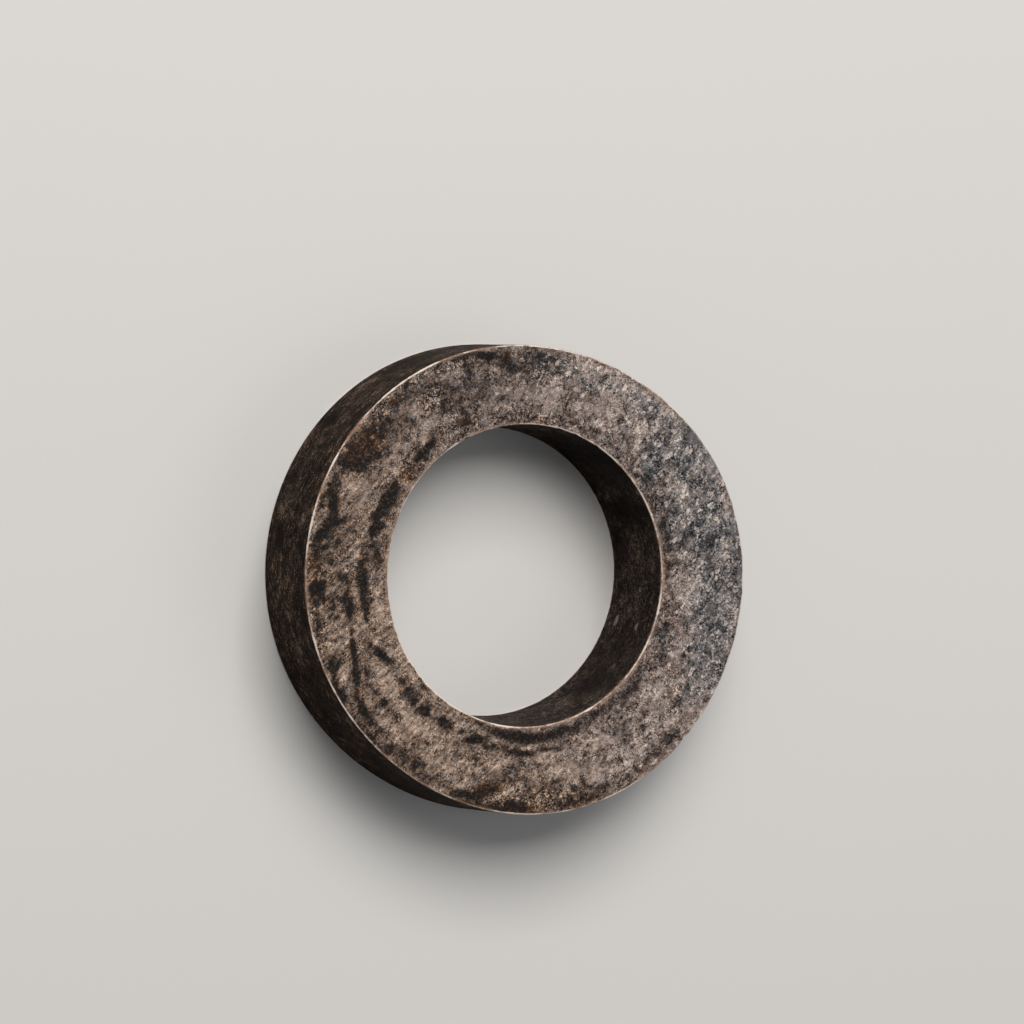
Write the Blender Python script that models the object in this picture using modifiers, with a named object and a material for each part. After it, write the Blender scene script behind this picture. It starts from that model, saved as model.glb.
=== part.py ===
"""A broad jade ring, ground by hand from one block of dark mottled stone.

The ring lies on its flat underside with its axis upright along +Z. The origin is on the
ground, under the middle of its outline. All sizes are in metres.
"""

import math

import bmesh
import bpy
from mathutils import Matrix

# Outside of the ring
OUTER_DIAMETER = 0.0980  # mean width across the upper face
HEIGHT = 0.0230
WALL_FLARE = 0.0004  # how much further out the wall stands at the underside
OUTER_ARRIS = 0.0004  # radius of the worn outer edges

# Bore
BORE_DIAMETER = 0.0622  # mean width of the upper mouth
BORE_TAPER = 0.0009  # how much nearer the axis the bore's wall stands at the underside
BORE_ARRIS = 0.0003  # radius of the worn mouths
BORE_OFFSET_UPPER = (-0.0004, 0.0007)  # how far the bore strays from the outline's middle
BORE_OFFSET_LOWER = (-0.0005, 0.0011)

# How far each hand-ground outline strays from a circle: lobes around, swell, direction in degrees
OUTLINE_LOBES = (
    (2, 0.00058, 146),
    (3, 0.00026, 29),
    (4, 0.00020, 16),
)
BORE_LOBES = ((2, 0.00030, 88),)

# Fineness of the curves
STEPS_AROUND = 144
STEPS_PER_ARRIS = 2
MERGE_DISTANCE = 0.00001
SHARP_ANGLE = math.radians(35)

# Finish of the stone
STONE_COLOUR = (0.115, 0.100, 0.086, 1.0)
STONE_ROUGHNESS = 0.42

NODE_NAME = "jade_ring"


def clear_scene():
    """Removes every object, so that the script can run again."""
    for thing in list(bpy.data.objects):
        bpy.data.objects.remove(thing, do_unlink=True)


def stone_material():
    """Returns the polished dark stone."""
    material = bpy.data.materials.new("dark_jade")
    material.use_nodes = True
    shader = material.node_tree.nodes["Principled BSDF"]
    shader.inputs["Base Color"].default_value = STONE_COLOUR
    shader.inputs["Roughness"].default_value = STONE_ROUGHNESS
    shader.inputs["Metallic"].default_value = 0.0
    return material


def worn_corner(radius, height, arris, start_degrees):
    """Returns a quarter round that turns clockwise from start_degrees about (radius, height)."""
    points = []
    for step in range(STEPS_PER_ARRIS + 1):
        angle = math.radians(start_degrees - 90 * step / STEPS_PER_ARRIS)
        points.append((radius + arris * math.cos(angle), height + arris * math.sin(angle)))
    return points


def ring_section():
    """Returns the section as (radius, height): down the outside, then up the bore."""
    upper_radius = OUTER_DIAMETER / 2
    lower_radius = upper_radius + WALL_FLARE
    upper_bore = BORE_DIAMETER / 2
    lower_bore = upper_bore - BORE_TAPER
    return (
        worn_corner(upper_radius - OUTER_ARRIS, HEIGHT - OUTER_ARRIS, OUTER_ARRIS, 90)
        + worn_corner(lower_radius - OUTER_ARRIS, OUTER_ARRIS, OUTER_ARRIS, 0)
        + worn_corner(lower_bore + BORE_ARRIS, BORE_ARRIS, BORE_ARRIS, -90)
        + worn_corner(upper_bore + BORE_ARRIS, HEIGHT - BORE_ARRIS, BORE_ARRIS, 180)
    )


def turned_mesh(section):
    """Returns the mesh that a Screw modifier turns from a closed section."""
    profile = bpy.data.meshes.new("section")
    builder = bmesh.new()
    corners = [builder.verts.new((radius, 0.0, height)) for radius, height in section]
    for index, corner in enumerate(corners):
        builder.edges.new((corner, corners[(index + 1) % len(corners)]))
    builder.to_mesh(profile)
    builder.free()

    blank = bpy.data.objects.new("section", profile)
    bpy.context.scene.collection.objects.link(blank)
    screw = blank.modifiers.new("turned", "SCREW")
    screw.axis = "Z"
    screw.angle = 2 * math.pi
    screw.steps = STEPS_AROUND
    screw.render_steps = STEPS_AROUND
    screw.use_merge_vertices = True
    screw.merge_threshold = MERGE_DISTANCE

    evaluated = blank.evaluated_get(bpy.context.evaluated_depsgraph_get())
    mesh = bpy.data.meshes.new_from_object(evaluated)
    bpy.data.objects.remove(blank, do_unlink=True)
    return mesh


def swell(lobes, angle):
    """Returns how far an outline stands outside its mean circle at an angle."""
    return sum(
        amount * math.cos(count * (angle - math.radians(direction)))
        for count, amount, direction in lobes
    )


def grind_by_hand(mesh):
    """Moves the turned outline and bore to their hand-ground, slightly uneven shapes."""
    middle_of_wall = (OUTER_DIAMETER + BORE_DIAMETER) / 4
    for vertex in mesh.vertices:
        x, y, z = vertex.co
        angle = math.atan2(y, x)
        radius = math.hypot(x, y)
        if radius > middle_of_wall:
            radius += swell(OUTLINE_LOBES, angle)
            shift_x = 0.0
            shift_y = 0.0
        else:
            radius += swell(BORE_LOBES, angle)
            rise = z / HEIGHT
            shift_x = BORE_OFFSET_LOWER[0] * (1 - rise) + BORE_OFFSET_UPPER[0] * rise
            shift_y = BORE_OFFSET_LOWER[1] * (1 - rise) + BORE_OFFSET_UPPER[1] * rise
        vertex.co = (radius * math.cos(angle) + shift_x, radius * math.sin(angle) + shift_y, z)


def centre_outline(mesh):
    """Moves the mesh in plan so that the middle of its outline is above the origin."""
    across = [vertex.co.x for vertex in mesh.vertices]
    along = [vertex.co.y for vertex in mesh.vertices]
    middle = ((min(across) + max(across)) / 2, (min(along) + max(along)) / 2, 0.0)
    mesh.transform(Matrix.Translation(middle).inverted())


def build_ring(collection):
    """Builds the ring as one solid in the collection."""
    mesh = turned_mesh(ring_section())
    mesh.name = NODE_NAME
    grind_by_hand(mesh)
    centre_outline(mesh)
    mesh.shade_smooth()
    mesh.set_sharp_from_angle(angle=SHARP_ANGLE)
    mesh.materials.append(stone_material())
    ring = bpy.data.objects.new(NODE_NAME, mesh)
    collection.objects.link(ring)
    return ring


def main():
    """Clears the scene and builds the ring in a collection of its own."""
    clear_scene()
    collection = bpy.data.collections.new(NODE_NAME)
    bpy.context.scene.collection.children.link(collection)
    build_ring(collection)


main()
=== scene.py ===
"""Dresses the jade ring: its hand-ground form, mottled stone, studio light and camera."""

import logging
import math
from dataclasses import dataclass, field
from enum import Enum
from functools import partial
from typing import Any, Callable, Sequence

import bpy
import numpy as np
from mathutils import Matrix, Vector


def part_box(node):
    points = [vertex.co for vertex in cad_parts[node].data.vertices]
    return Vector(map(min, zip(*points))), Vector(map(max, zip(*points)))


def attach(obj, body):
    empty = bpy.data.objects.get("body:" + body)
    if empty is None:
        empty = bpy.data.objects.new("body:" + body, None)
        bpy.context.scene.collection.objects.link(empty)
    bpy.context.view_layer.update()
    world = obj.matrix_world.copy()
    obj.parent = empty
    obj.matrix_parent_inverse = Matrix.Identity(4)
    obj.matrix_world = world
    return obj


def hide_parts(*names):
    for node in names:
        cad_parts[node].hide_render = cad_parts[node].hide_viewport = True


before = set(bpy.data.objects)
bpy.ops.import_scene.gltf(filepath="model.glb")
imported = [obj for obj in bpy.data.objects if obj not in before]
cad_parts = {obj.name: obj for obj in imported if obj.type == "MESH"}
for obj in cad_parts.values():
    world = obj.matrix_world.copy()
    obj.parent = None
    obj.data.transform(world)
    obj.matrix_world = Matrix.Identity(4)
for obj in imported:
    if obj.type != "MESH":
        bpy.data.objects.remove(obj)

LOG = logging.getLogger("jade_ring")

MM = 0.001
NODE = "jade_ring"
BODY = "root"
# Halfway between the bore and the outer wall, in millimetres
MIDDLE_RADIUS = 40.0
# Where a mark on a face or a wall has faded out, and how broad its fading border is, in its half sizes
FACE_MARK_END, FACE_MARK_BORDER = 1.75, 1.45
WALL_MARK_END, WALL_MARK_BORDER = 1.6, 1.2

FLOAT = "NodeSocketFloat"
VECTOR = "NodeSocketVector"
COLOR = "NodeSocketColor"

Colour = tuple[float, float, float, float]
Stops = tuple[tuple[float, Colour], ...]
Socket = bpy.types.NodeSocket
Sockets = dict[str, Socket]
Value = Any


def srgb(red: int, green: int, blue: int) -> Colour:
    """Turns a screen colour into the linear colour that a shader takes.

    Args:
        red, green, blue: the screen values, 0 to 255.

    Returns:
        The linear colour with full alpha.
    """
    linear = []
    for value in (red, green, blue):
        share = value / 255
        linear.append(share / 12.92 if share <= 0.04045 else ((share + 0.055) / 1.055) ** 2.4)
    return (linear[0], linear[1], linear[2], 1.0)


def stops(*rows: tuple[float, int, int, int]) -> Stops:
    """Turns rows of a place and a screen colour into the stops of a colour ramp."""
    return tuple((place, srgb(*colour)) for place, *colour in rows)


def eased(share: np.ndarray, amount: float = 1.0) -> np.ndarray:
    """Returns an amount that sets in and levels off smoothly as the share goes from 0 to 1."""
    return amount * share * share * (3 - 2 * share)


class Wiring:
    """Adds nodes to one node tree and joins them with short calls."""

    def __init__(self, tree: bpy.types.NodeTree) -> None:
        """Keeps the tree that the nodes go into."""
        self.tree = tree

    def feed(self, socket: Socket, value: Value) -> None:
        """Links another node's output to a socket, or sets its plain value.

        Args:
            socket: the input to fill.
            value: an output socket, a plain value, or None to leave the input as it is.
        """
        if isinstance(value, bpy.types.NodeSocket):
            self.tree.links.new(value, socket)
        elif value is not None:
            socket.default_value = value

    def add(self, kind: str, inputs: dict[str, Value] | None = None, **settings: Value) -> bpy.types.Node:
        """Adds a node.

        Args:
            kind: the node's type name.
            inputs: what goes into each named input.
            settings: the node's own options.

        Returns:
            The new node.
        """
        node = self.tree.nodes.new(kind)
        for name, value in settings.items():
            setattr(node, name, value)
        for name, value in (inputs or {}).items():
            self.feed(node.inputs[name], value)
        return node

    def math(self, operation: str, *operands: Value, clamp: bool = False) -> Socket:
        """Adds a Math node and returns its output.

        Args:
            operation: the sum, such as ADD or MULTIPLY.
            operands: one to three sockets or numbers.
            clamp: whether the result is kept between 0 and 1.

        Returns:
            The result.
        """
        node = self.add("ShaderNodeMath", operation=operation, use_clamp=clamp)
        for socket, value in zip(node.inputs, operands):
            self.feed(socket, value)
        return node.outputs[0]

    def total(self, *terms: Value) -> Socket:
        """Adds up sockets or numbers."""
        result = terms[0]
        for term in terms[1:]:
            result = self.math("ADD", result, term)
        return result

    def times(self, *factors: Value) -> Socket:
        """Multiplies sockets or numbers."""
        result = factors[0]
        for factor in factors[1:]:
            result = self.math("MULTIPLY", result, factor)
        return result

    def less(self, value: Value, taken: Value) -> Socket:
        """Takes one value from another."""
        return self.math("SUBTRACT", value, taken)

    def line(self, value: Value, slope: Value, offset: Value) -> Socket:
        """Returns a value times a slope, plus an offset."""
        return self.math("MULTIPLY_ADD", value, slope, offset)

    def swing(self, value: Value, amount: Value) -> Socket:
        """Returns how far a 0 to 1 pattern lies from its middle, times an amount."""
        return self.times(self.less(value, 0.5), amount)

    def step(self, value: Value, low: Value, high: Value) -> Socket:
        """Returns a smooth step that is 0 below low and 1 above high."""
        node = self.add(
            "ShaderNodeMapRange",
            {"Value": value, "From Min": low, "From Max": high},
            interpolation_type="SMOOTHSTEP",
        )
        return node.outputs["Result"]

    def vector(self, operation: str, *operands: Value, scale: Value = None) -> Socket:
        """Adds a Vector Math node and returns its output.

        Args:
            operation: the sum, such as ADD or DISTANCE.
            operands: one or two sockets or vectors.
            scale: the factor of the SCALE operation.

        Returns:
            The result: a number for a distance or a dot product, otherwise a vector.
        """
        factor = {} if scale is None else {"Scale": scale}
        node = self.add("ShaderNodeVectorMath", factor, operation=operation)
        for socket, value in zip(node.inputs, operands):
            self.feed(socket, value)
        return node.outputs["Value" if operation in ("DISTANCE", "DOT_PRODUCT") else "Vector"]

    def split(self, vector: Socket) -> tuple[Socket, Socket, Socket]:
        """Returns the three parts of a vector."""
        parts = self.add("ShaderNodeSeparateXYZ", {"Vector": vector}).outputs
        return parts["X"], parts["Y"], parts["Z"]

    def radius(self, x: Socket, y: Socket) -> Socket:
        """Returns the distance from the ring's axis."""
        return self.math("SQRT", self.total(self.times(x, x), self.times(y, y)))

    def noise(self, vector: Value, scale: Value, detail: float = 2.0, roughness: float = 0.5,
              distortion: float = 0.0) -> Socket:
        """Returns a noise pattern between 0 and 1.

        Args:
            vector: where the pattern is read.
            scale: its waves for each unit of the vector.
            detail: how many finer layers it holds.
            roughness: how strong the finer layers are.
            distortion: how far the pattern bends itself.

        Returns:
            The pattern.
        """
        return self.noise_node(vector, scale, detail, roughness, distortion).outputs["Fac"]

    def noise_node(self, vector: Value, scale: Value, detail: float, roughness: float,
                   distortion: float) -> bpy.types.Node:
        """Adds the node of a noise pattern, whose colour holds three patterns more."""
        return self.add(
            "ShaderNodeTexNoise",
            {"Vector": vector, "Scale": scale, "Detail": detail, "Roughness": roughness,
             "Distortion": distortion},
        )

    def blend(self, factor: Value, first: Value, second: Value) -> Socket:
        """Returns a colour between two colours.

        Args:
            factor: 0 for the first colour, 1 for the second.
            first, second: the colours.

        Returns:
            The blended colour.
        """
        node = self.add("ShaderNodeMix", data_type="RGBA")
        # A Mix node keeps its colour sockets at these places, behind those of its other types
        for place, value in ((0, factor), (6, first), (7, second)):
            self.feed(node.inputs[place], value)
        return node.outputs[2]

    def ramp(self, value: Value, ramp_stops: Stops) -> Socket:
        """Returns the colour that a ramp gives for a value.

        Args:
            value: the place on the ramp, 0 to 1.
            ramp_stops: the ramp's places and colours, lowest first.

        Returns:
            The colour.
        """
        node = self.add("ShaderNodeValToRGB", {"Fac": value})
        elements = node.color_ramp.elements
        while len(elements) < len(ramp_stops):
            elements.new(1.0)
        for element, (place, colour) in zip(elements, ramp_stops):
            element.position = place
            element.color = colour
        return node.outputs["Color"]

    def attribute(self, name: str) -> Socket:
        """Returns a number that the mesh carries at each point."""
        return self.add("ShaderNodeAttribute", attribute_name=name).outputs["Fac"]

    def surface(self, inputs: dict[str, Value]) -> None:
        """Fills the named inputs of a material's shader."""
        for name, value in inputs.items():
            self.feed(self.tree.nodes["Principled BSDF"].inputs[name], value)

    def bump(self, strength: float, distance: float, height: Socket) -> Socket:
        """Returns the surface's direction, tilted by a pattern of heights."""
        node = self.add("ShaderNodeBump", {"Strength": strength, "Distance": distance, "Height": height})
        return node.outputs["Normal"]


def node_group(name: str, kind: str, inputs: dict[str, str], outputs: dict[str, str],
               fill: Callable[[Wiring, Sockets], Sockets]) -> bpy.types.NodeTree:
    """Builds a node group with named sockets.

    Args:
        name: the group's name.
        kind: ShaderNodeTree or GeometryNodeTree.
        inputs, outputs: the type of each named socket.
        fill: adds the group's nodes from its inputs and returns its outputs.

    Returns:
        The group.
    """
    group = bpy.data.node_groups.new(name, kind)
    for way, sockets in (("INPUT", inputs), ("OUTPUT", outputs)):
        for socket_name, socket_type in sockets.items():
            group.interface.new_socket(name=socket_name, in_out=way, socket_type=socket_type)
    wires = Wiring(group)
    source = group.nodes.new("NodeGroupInput")
    results = fill(wires, {socket.name: socket for socket in source.outputs if socket.name})
    sink = group.nodes.new("NodeGroupOutput")
    for socket_name, result in results.items():
        wires.feed(sink.inputs[socket_name], result)
    return group


def new_object(name: str, data: bpy.types.ID) -> bpy.types.Object:
    """Puts an object with the given data into the scene."""
    made = bpy.data.objects.new(name, data)
    bpy.context.scene.collection.objects.link(made)
    return made


def new_material(name: str) -> tuple[bpy.types.Material, Wiring]:
    """Returns a new material and the wiring of its nodes."""
    material = bpy.data.materials.new(name)
    material.use_nodes = True
    return material, Wiring(material.node_tree)


class Mineral(Enum):
    """What a mark in the stone is made of; the value names its attribute on the mesh."""

    DARK = "dark_mineral"
    RUST = "rust"
    BLUE = "blue_crystal"
    PALE = "pale_stone"
    CALM = "smooth_spot"
    RUBBLE = "rubble"


@dataclass(frozen=True)
class Mark:
    """One soft oval mark on the upper face, in millimetres from the ring's axis and degrees."""

    mineral: Mineral
    x: float
    y: float
    half_length: float
    half_width: float
    strength: float = 1.0
    turn: float = 0.0

    def amount(self, x: np.ndarray, y: np.ndarray) -> np.ndarray:
        """Works out how strong the mark is at each point.

        Args:
            x, y: the points, in millimetres.

        Returns:
            The mark's strength, fading from its middle to well past its border.
        """
        cosine = math.cos(math.radians(self.turn))
        sine = math.sin(math.radians(self.turn))
        along = ((x - self.x) * cosine + (y - self.y) * sine) / self.half_length
        across = ((y - self.y) * cosine - (x - self.x) * sine) / self.half_width
        fade = np.clip((FACE_MARK_END - np.hypot(along, across)) / FACE_MARK_BORDER, 0.0, 1.0)
        return eased(fade, self.strength)


class Wall(Enum):
    """The two round walls of the ring."""

    OUTER = "outer"
    BORE = "bore"


@dataclass(frozen=True)
class WallMark:
    """One soft mark on a wall: its bearing in degrees, and heights and half sizes in millimetres."""

    wall: Wall
    mineral: Mineral
    bearing: float
    height: float
    half_length: float
    half_height: float
    strength: float = 1.0

    def amount(self, bearing: np.ndarray, radius: np.ndarray, z: np.ndarray) -> np.ndarray:
        """Works out how strong the mark is at each point.

        Args:
            bearing: the points' angles about the axis, in degrees.
            radius, z: their distances from the axis and heights, in millimetres.

        Returns:
            The mark's strength.
        """
        turn = (bearing - self.bearing + 180.0) % 360.0 - 180.0
        along = np.radians(turn) * radius / self.half_length
        distance = np.hypot(along, (z - self.height) / self.half_height)
        fade = np.clip((WALL_MARK_END - distance) / WALL_MARK_BORDER, 0.0, 1.0)
        return eased(fade, self.strength)


@dataclass(frozen=True)
class Crack:
    """A hairline crack in the upper face, in millimetres from the ring's axis."""

    start: tuple[float, float]
    end: tuple[float, float]
    depth: float = 0.8
    width: float = 0.16


# Each makes marks of one mineral: stains, rust, blue-grey crystals, pale stone, even spots and rubble
dark, rust, blue, pale, calm, rubble = (partial(Mark, mineral) for mineral in Mineral)

# Marks of the upper face, by region: the face's left is -X and its far side is +Y.
# Each gives x, y, half length, half width and strength, and the turn of its length where it has one.
UPPER_LEFT_MARKS = (
    dark(-36.0, 28.3, 5.2, 3.4, 0.52, 25), dark(-37.0, 24.8, 2.0, 0.9, 0.8, -15),
    dark(-33.2, 33.0, 3.0, 1.4, 0.45, 10), dark(-28.8, 33.4, 2.8, 2.0, 0.48, 30),
    dark(-42.6, 18.0, 3.9, 1.0, 0.85, 95), dark(-44.8, 12.4, 2.9, 1.1, 1.0, 52),
    dark(-41.2, 13.9, 1.6, 0.6, 0.8, 25), dark(-41.6, 22.6, 1.4, 0.7, 0.6, 100),
    dark(-31.0, 17.6, 3.6, 1.4, 1.0, 50), dark(-28.9, 21.0, 2.2, 0.9, 0.8, 80),
    dark(-33.4, 12.2, 2.2, 1.1, 1.0, 40), dark(-33.5, 14.6, 1.4, 0.8, 0.55, 20),
    dark(-26.2, 23.3, 1.6, 1.1, 0.5, 30), dark(-22.9, 26.8, 1.7, 0.8, 0.82, 40),
    dark(-20.6, 28.9, 1.6, 0.8, 0.7, 50), dark(-22.0, 27.0, 5.4, 1.7, 0.1, 45),
    dark(-7.4, 46.7, 2.8, 0.8, 0.95, -4), dark(-3.1, 46.2, 0.9, 1.4, 0.7),
    dark(-2.4, 43.6, 0.7, 1.0, 0.6), dark(-14.5, 38.8, 4.6, 2.4, 0.24, -30),
    dark(-12.4, 33.5, 1.8, 1.2, 0.55, 10), dark(-25.6, 41.3, 1.2, 0.6, 0.75, 70),
    dark(-27.0, 38.6, 2.0, 0.9, 0.45, 20), dark(-11.0, 44.5, 3.0, 1.4, 0.3),
    dark(-36.6, 4.6, 3.2, 1.1, 0.5, 95), dark(-34.2, 8.6, 1.6, 1.3, 0.45),
    dark(-36.2, 6.4, 1.6, 1.0, 0.2), dark(-46.6, 0.8, 1.8, 1.2), dark(-45.4, 8.9, 1.6, 0.7, 0.7),
    dark(-47.0, 6.0, 1.2, 3.0, 0.5), dark(-28.6, 37.0, 1.7, 1.2, 0.5), dark(-31.0, 27.6, 1.4, 1.0, 0.5),
    dark(-43.3, 11.5, 1.4, 1.0, 0.5, 40), dark(-31.0, 15.0, 1.2, 0.9, 0.6, 50),
    dark(-8.2, 38.2, 2.0, 1.2, 0.5), dark(-12.0, 42.2, 1.4, 1.6, 0.3),
    dark(-16.6, 36.4, 2.2, 1.0, 0.4, -20), dark(-2.6, 44.6, 2.4, 1.5, 0.5),
    dark(-2.6, 33.2, 2.5, 0.8, 0.4), dark(-12.6, 47.0, 2.4, 0.7, 0.5, 15),
    dark(-46.8, 9.6, 0.9, 1.8, 0.4), dark(-39.8, 26.8, 1.2, 1.4, 0.4),
    dark(-44.9, 18.6, 0.8, 1.7, 0.45, -20), dark(-25.6, 34.4, 1.2, 1.2, 0.25),
    dark(-41.8, 14.4, 1.2, 0.8, 0.35, 20), dark(-38.6, 11.6, 1.3, 0.9, 0.3),
    dark(-36.2, 1.8, 1.0, 1.2, 0.35), dark(-33.2, 5.8, 1.2, 1.0, 0.3), dark(-8.4, 34.6, 1.6, 0.9, 0.35),
    dark(-5.6, 41.2, 1.6, 1.2, 0.25), dark(-26.2, 30.6, 1.6, 1.2, 0.45, 45),
    dark(-24.5, 33.4, 1.8, 1.0, 0.3, 40), dark(-18.0, 35.2, 3.0, 0.9, 0.3, 5),
    dark(-23.4, 38.6, 1.4, 2.0, 0.25), dark(-11.0, 40.6, 1.4, 1.0, 0.3), dark(-4.4, 38.2, 1.6, 1.2, 0.3),
    dark(-32.4, 23.6, 1.0, 0.8, 0.3), dark(-38.6, 14.6, 1.4, 1.4, 0.3), dark(-41.0, 10.8, 1.6, 1.4, 0.35),
    dark(-44.2, 15.2, 0.8, 1.0, 0.3), dark(-43.0, 8.6, 1.4, 1.4, 0.35), dark(-45.0, 2.2, 1.6, 1.2, 0.35),
    dark(-40.6, 2.0, 1.4, 1.4, 0.3), dark(-27.2, 20.2, 0.8, 1.2, 0.35, 30),
    dark(-16.0, 40.6, 3.6, 1.6, 0.22, -10), dark(-13.0, 35.4, 1.4, 1.0, 0.35),
    dark(-17.2, 31.8, 1.4, 1.0, 0.3, 25), dark(-29.2, 26.2, 1.2, 1.4, 0.3, 40),
    dark(-32.8, 27.0, 1.2, 1.0, 0.25), dark(-39.6, 20.8, 1.0, 1.6, 0.25),
    dark(-39.4, 12.8, 1.6, 1.4, 0.1), dark(-33.4, 6.0, 0.9, 1.6, 0.45), dark(-44.0, 6.8, 1.0, 1.4, 0.35),
    dark(-33.6, 2.4, 1.0, 2.4, 0.35), dark(-3.4, 42.6, 2.4, 1.4, 0.1), dark(-11.0, 42.4, 1.2, 1.4, 0.25),
    dark(-24.4, 29.8, 1.4, 1.0, 0.25, 45), dark(-28.8, 30.0, 1.6, 1.2, 0.2, 45),
    dark(-24.4, 33.4, 1.4, 1.0, 0.25), dark(-8.6, 40.6, 1.2, 1.0, 0.25),
    dark(-37.0, 18.4, 1.2, 1.0, 0.25), dark(-32.4, 22.4, 1.2, 0.9, 0.2, 45),
    dark(-43.9, 6.6, 1.0, 1.2, 0.3), dark(-41.4, 3.2, 1.1, 1.2, 0.3), dark(-4.6, 45.6, 1.0, 1.0, 0.25),
    dark(-35.2, 6.2, 0.9, 1.2, 0.35), dark(-38.7, 9.4, 1.0, 1.2, 0.3), dark(-2.8, 37.8, 1.3, 1.1, 0.35),
    dark(-25.2, 39.0, 1.2, 1.0, 0.2), dark(-44.3, 18.0, 0.8, 1.4, 0.25, -20),
    rust(-35.5, 29.5, 5.4, 3.0, 0.85, 25), rust(-28.6, 38.3, 1.4, 0.9, 1.0, 20),
    rust(-18.4, 31.2, 0.9, 0.7, 0.9), rust(-47.4, 4.6, 1.4, 4.2, 0.85),
    rust(-36.8, 4.8, 1.3, 3.4, 0.6, -8), rust(-26.0, 23.0, 2.4, 1.8, 0.8, 45),
    rust(-41.2, 17.2, 1.2, 2.6, 0.6), rust(-3.2, 46.4, 1.3, 1.6, 0.95), rust(-12.4, 33.7, 1.4, 0.9, 0.55),
    rust(-18.0, 38.0, 1.3, 1.1, 0.55), rust(-20.6, 42.0, 1.0, 0.8, 0.6), rust(-1.6, 34.4, 1.2, 0.6, 0.5),
    pale(-37.4, 22.2, 3.0, 1.6, 0.6, 25), pale(-36.0, 18.0, 2.6, 1.4, 0.3, 35),
    pale(-46.8, 14.6, 0.7, 2.2, 0.4, -15), pale(-25.0, 31.5, 4.4, 2.6, 0.38, 35),
    pale(-22.0, 36.5, 3.0, 2.4, 0.5, 30), pale(-29.6, 26.6, 3.2, 1.6, 0.5, 40),
    pale(-4.0, 38.5, 4.2, 2.0, 0.4, 10), pale(-7.5, 44.0, 3.0, 1.2, 0.35, -5),
    pale(-27.5, 17.0, 0.8, 3.0, 0.4, -25), pale(-38.3, 7.6, 1.2, 2.2, 0.65),
    pale(-21.4, 32.4, 2.4, 1.7, 0.6, 40), pale(-25.2, 29.4, 2.0, 1.2, 0.35, 40),
    pale(-28.7, 23.2, 1.4, 1.2, 0.55), pale(-24.4, 42.0, 2.2, 0.9, 0.75, 28),
    pale(-15.8, 45.2, 1.7, 0.9, 0.6, 15), pale(-33.0, 1.2, 0.9, 2.2, 0.6),
    pale(-1.0, 38.2, 1.6, 1.2, 0.15), pale(-19.0, 34.6, 2.4, 1.2, 0.4, 20),
    pale(-37.9, 5.2, 1.0, 1.5, 0.5), pale(-39.0, 22.6, 1.6, 1.0, 0.4, 20),
    pale(-8.7, 44.8, 1.5, 1.0, 0.5), pale(-4.3, 35.7, 1.3, 1.3, 0.45),
    pale(-34.6, 35.2, 1.6, 0.8, 0.4, 42), pale(-24.9, 27.6, 1.2, 0.9, 0.4, 45),
    pale(-12.2, 34.6, 1.4, 1.0, 0.5), pale(-28.0, 23.0, 1.3, 1.0, 0.55, 30),
    pale(-24.4, 26.0, 1.2, 0.8, 0.4, 45), pale(-43.2, 22.0, 0.9, 1.6, 0.5, -25),
    pale(-38.6, 24.4, 1.3, 0.8, 0.45, 20), pale(-39.0, 20.0, 1.4, 1.6, 0.4),
    pale(-37.3, 6.6, 1.1, 1.8, 0.7), pale(-35.0, 8.0, 1.0, 1.0, 0.4), pale(-47.8, 6.2, 0.8, 2.2, 0.5),
    pale(-13.4, 43.8, 1.4, 1.6, 0.55), pale(-4.6, 46.0, 1.2, 1.2, 0.55),
    pale(-20.0, 44.0, 1.6, 0.8, 0.3, 25), pale(-11.2, 33.4, 1.4, 0.9, 0.5),
    pale(-22.8, 38.2, 1.4, 1.8, 0.45), pale(-18.6, 36.6, 1.2, 1.2, 0.3),
    pale(-37.0, 29.8, 1.4, 1.2, 0.35), pale(-35.6, 24.2, 1.2, 1.4, 0.45),
    pale(-27.4, 23.0, 1.4, 1.1, 0.6, 40), pale(-23.6, 26.6, 1.6, 1.1, 0.6, 45),
    pale(-22.0, 30.2, 1.2, 1.0, 0.45, 45), pale(-41.4, 23.4, 1.0, 1.2, 0.4),
    pale(-37.2, 5.4, 1.0, 1.6, 0.6), pale(-46.8, 4.8, 1.0, 2.0, 0.5), pale(-42.2, 4.0, 1.0, 1.2, 0.3),
    pale(-5.0, 37.6, 1.3, 1.1, 0.3), pale(-32.6, 35.0, 2.0, 0.9, 0.35, 42),
    pale(-18.2, 35.8, 1.2, 1.0, 0.3), pale(-36.2, 29.4, 1.3, 1.0, 0.3),
    pale(-34.8, 32.2, 1.2, 1.0, 0.35, 45), pale(-32.4, 27.0, 1.0, 1.0, 0.25),
    pale(-46.9, 3.6, 0.9, 2.0, 0.4), pale(-41.9, 22.2, 1.0, 1.2, 0.3), pale(-3.8, 41.6, 1.2, 1.0, 0.35),
    pale(-20.8, 40.6, 1.2, 1.0, 0.25), pale(-11.7, 34.2, 1.2, 1.0, 0.5),
    pale(-36.2, 29.8, 1.2, 1.0, 0.35), pale(-35.2, 25.6, 1.0, 1.0, 0.3), pale(-34.0, 13.6, 1.0, 1.0, 0.4),
    pale(-46.7, 2.2, 1.0, 1.4, 0.35), pale(-34.8, 8.8, 0.9, 0.9, 0.3),
    pale(-22.8, 24.8, 1.2, 0.7, 0.35, 45), pale(-4.2, 46.1, 1.2, 0.9, 0.3),
    calm(-26.8, 33.8, 5.5, 3.0, 0.8, 40), calm(-29.6, 26.6, 4.5, 2.4, 0.8, 50),
    calm(-36.2, 20.4, 3.6, 2.6, 0.8, 50), calm(-20.5, 31.0, 3.0, 1.8, 0.6, 30),
    calm(-5.0, 38.5, 5.0, 2.6, 0.7), calm(-41.0, 15.5, 1.6, 2.6, 0.5),
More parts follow.
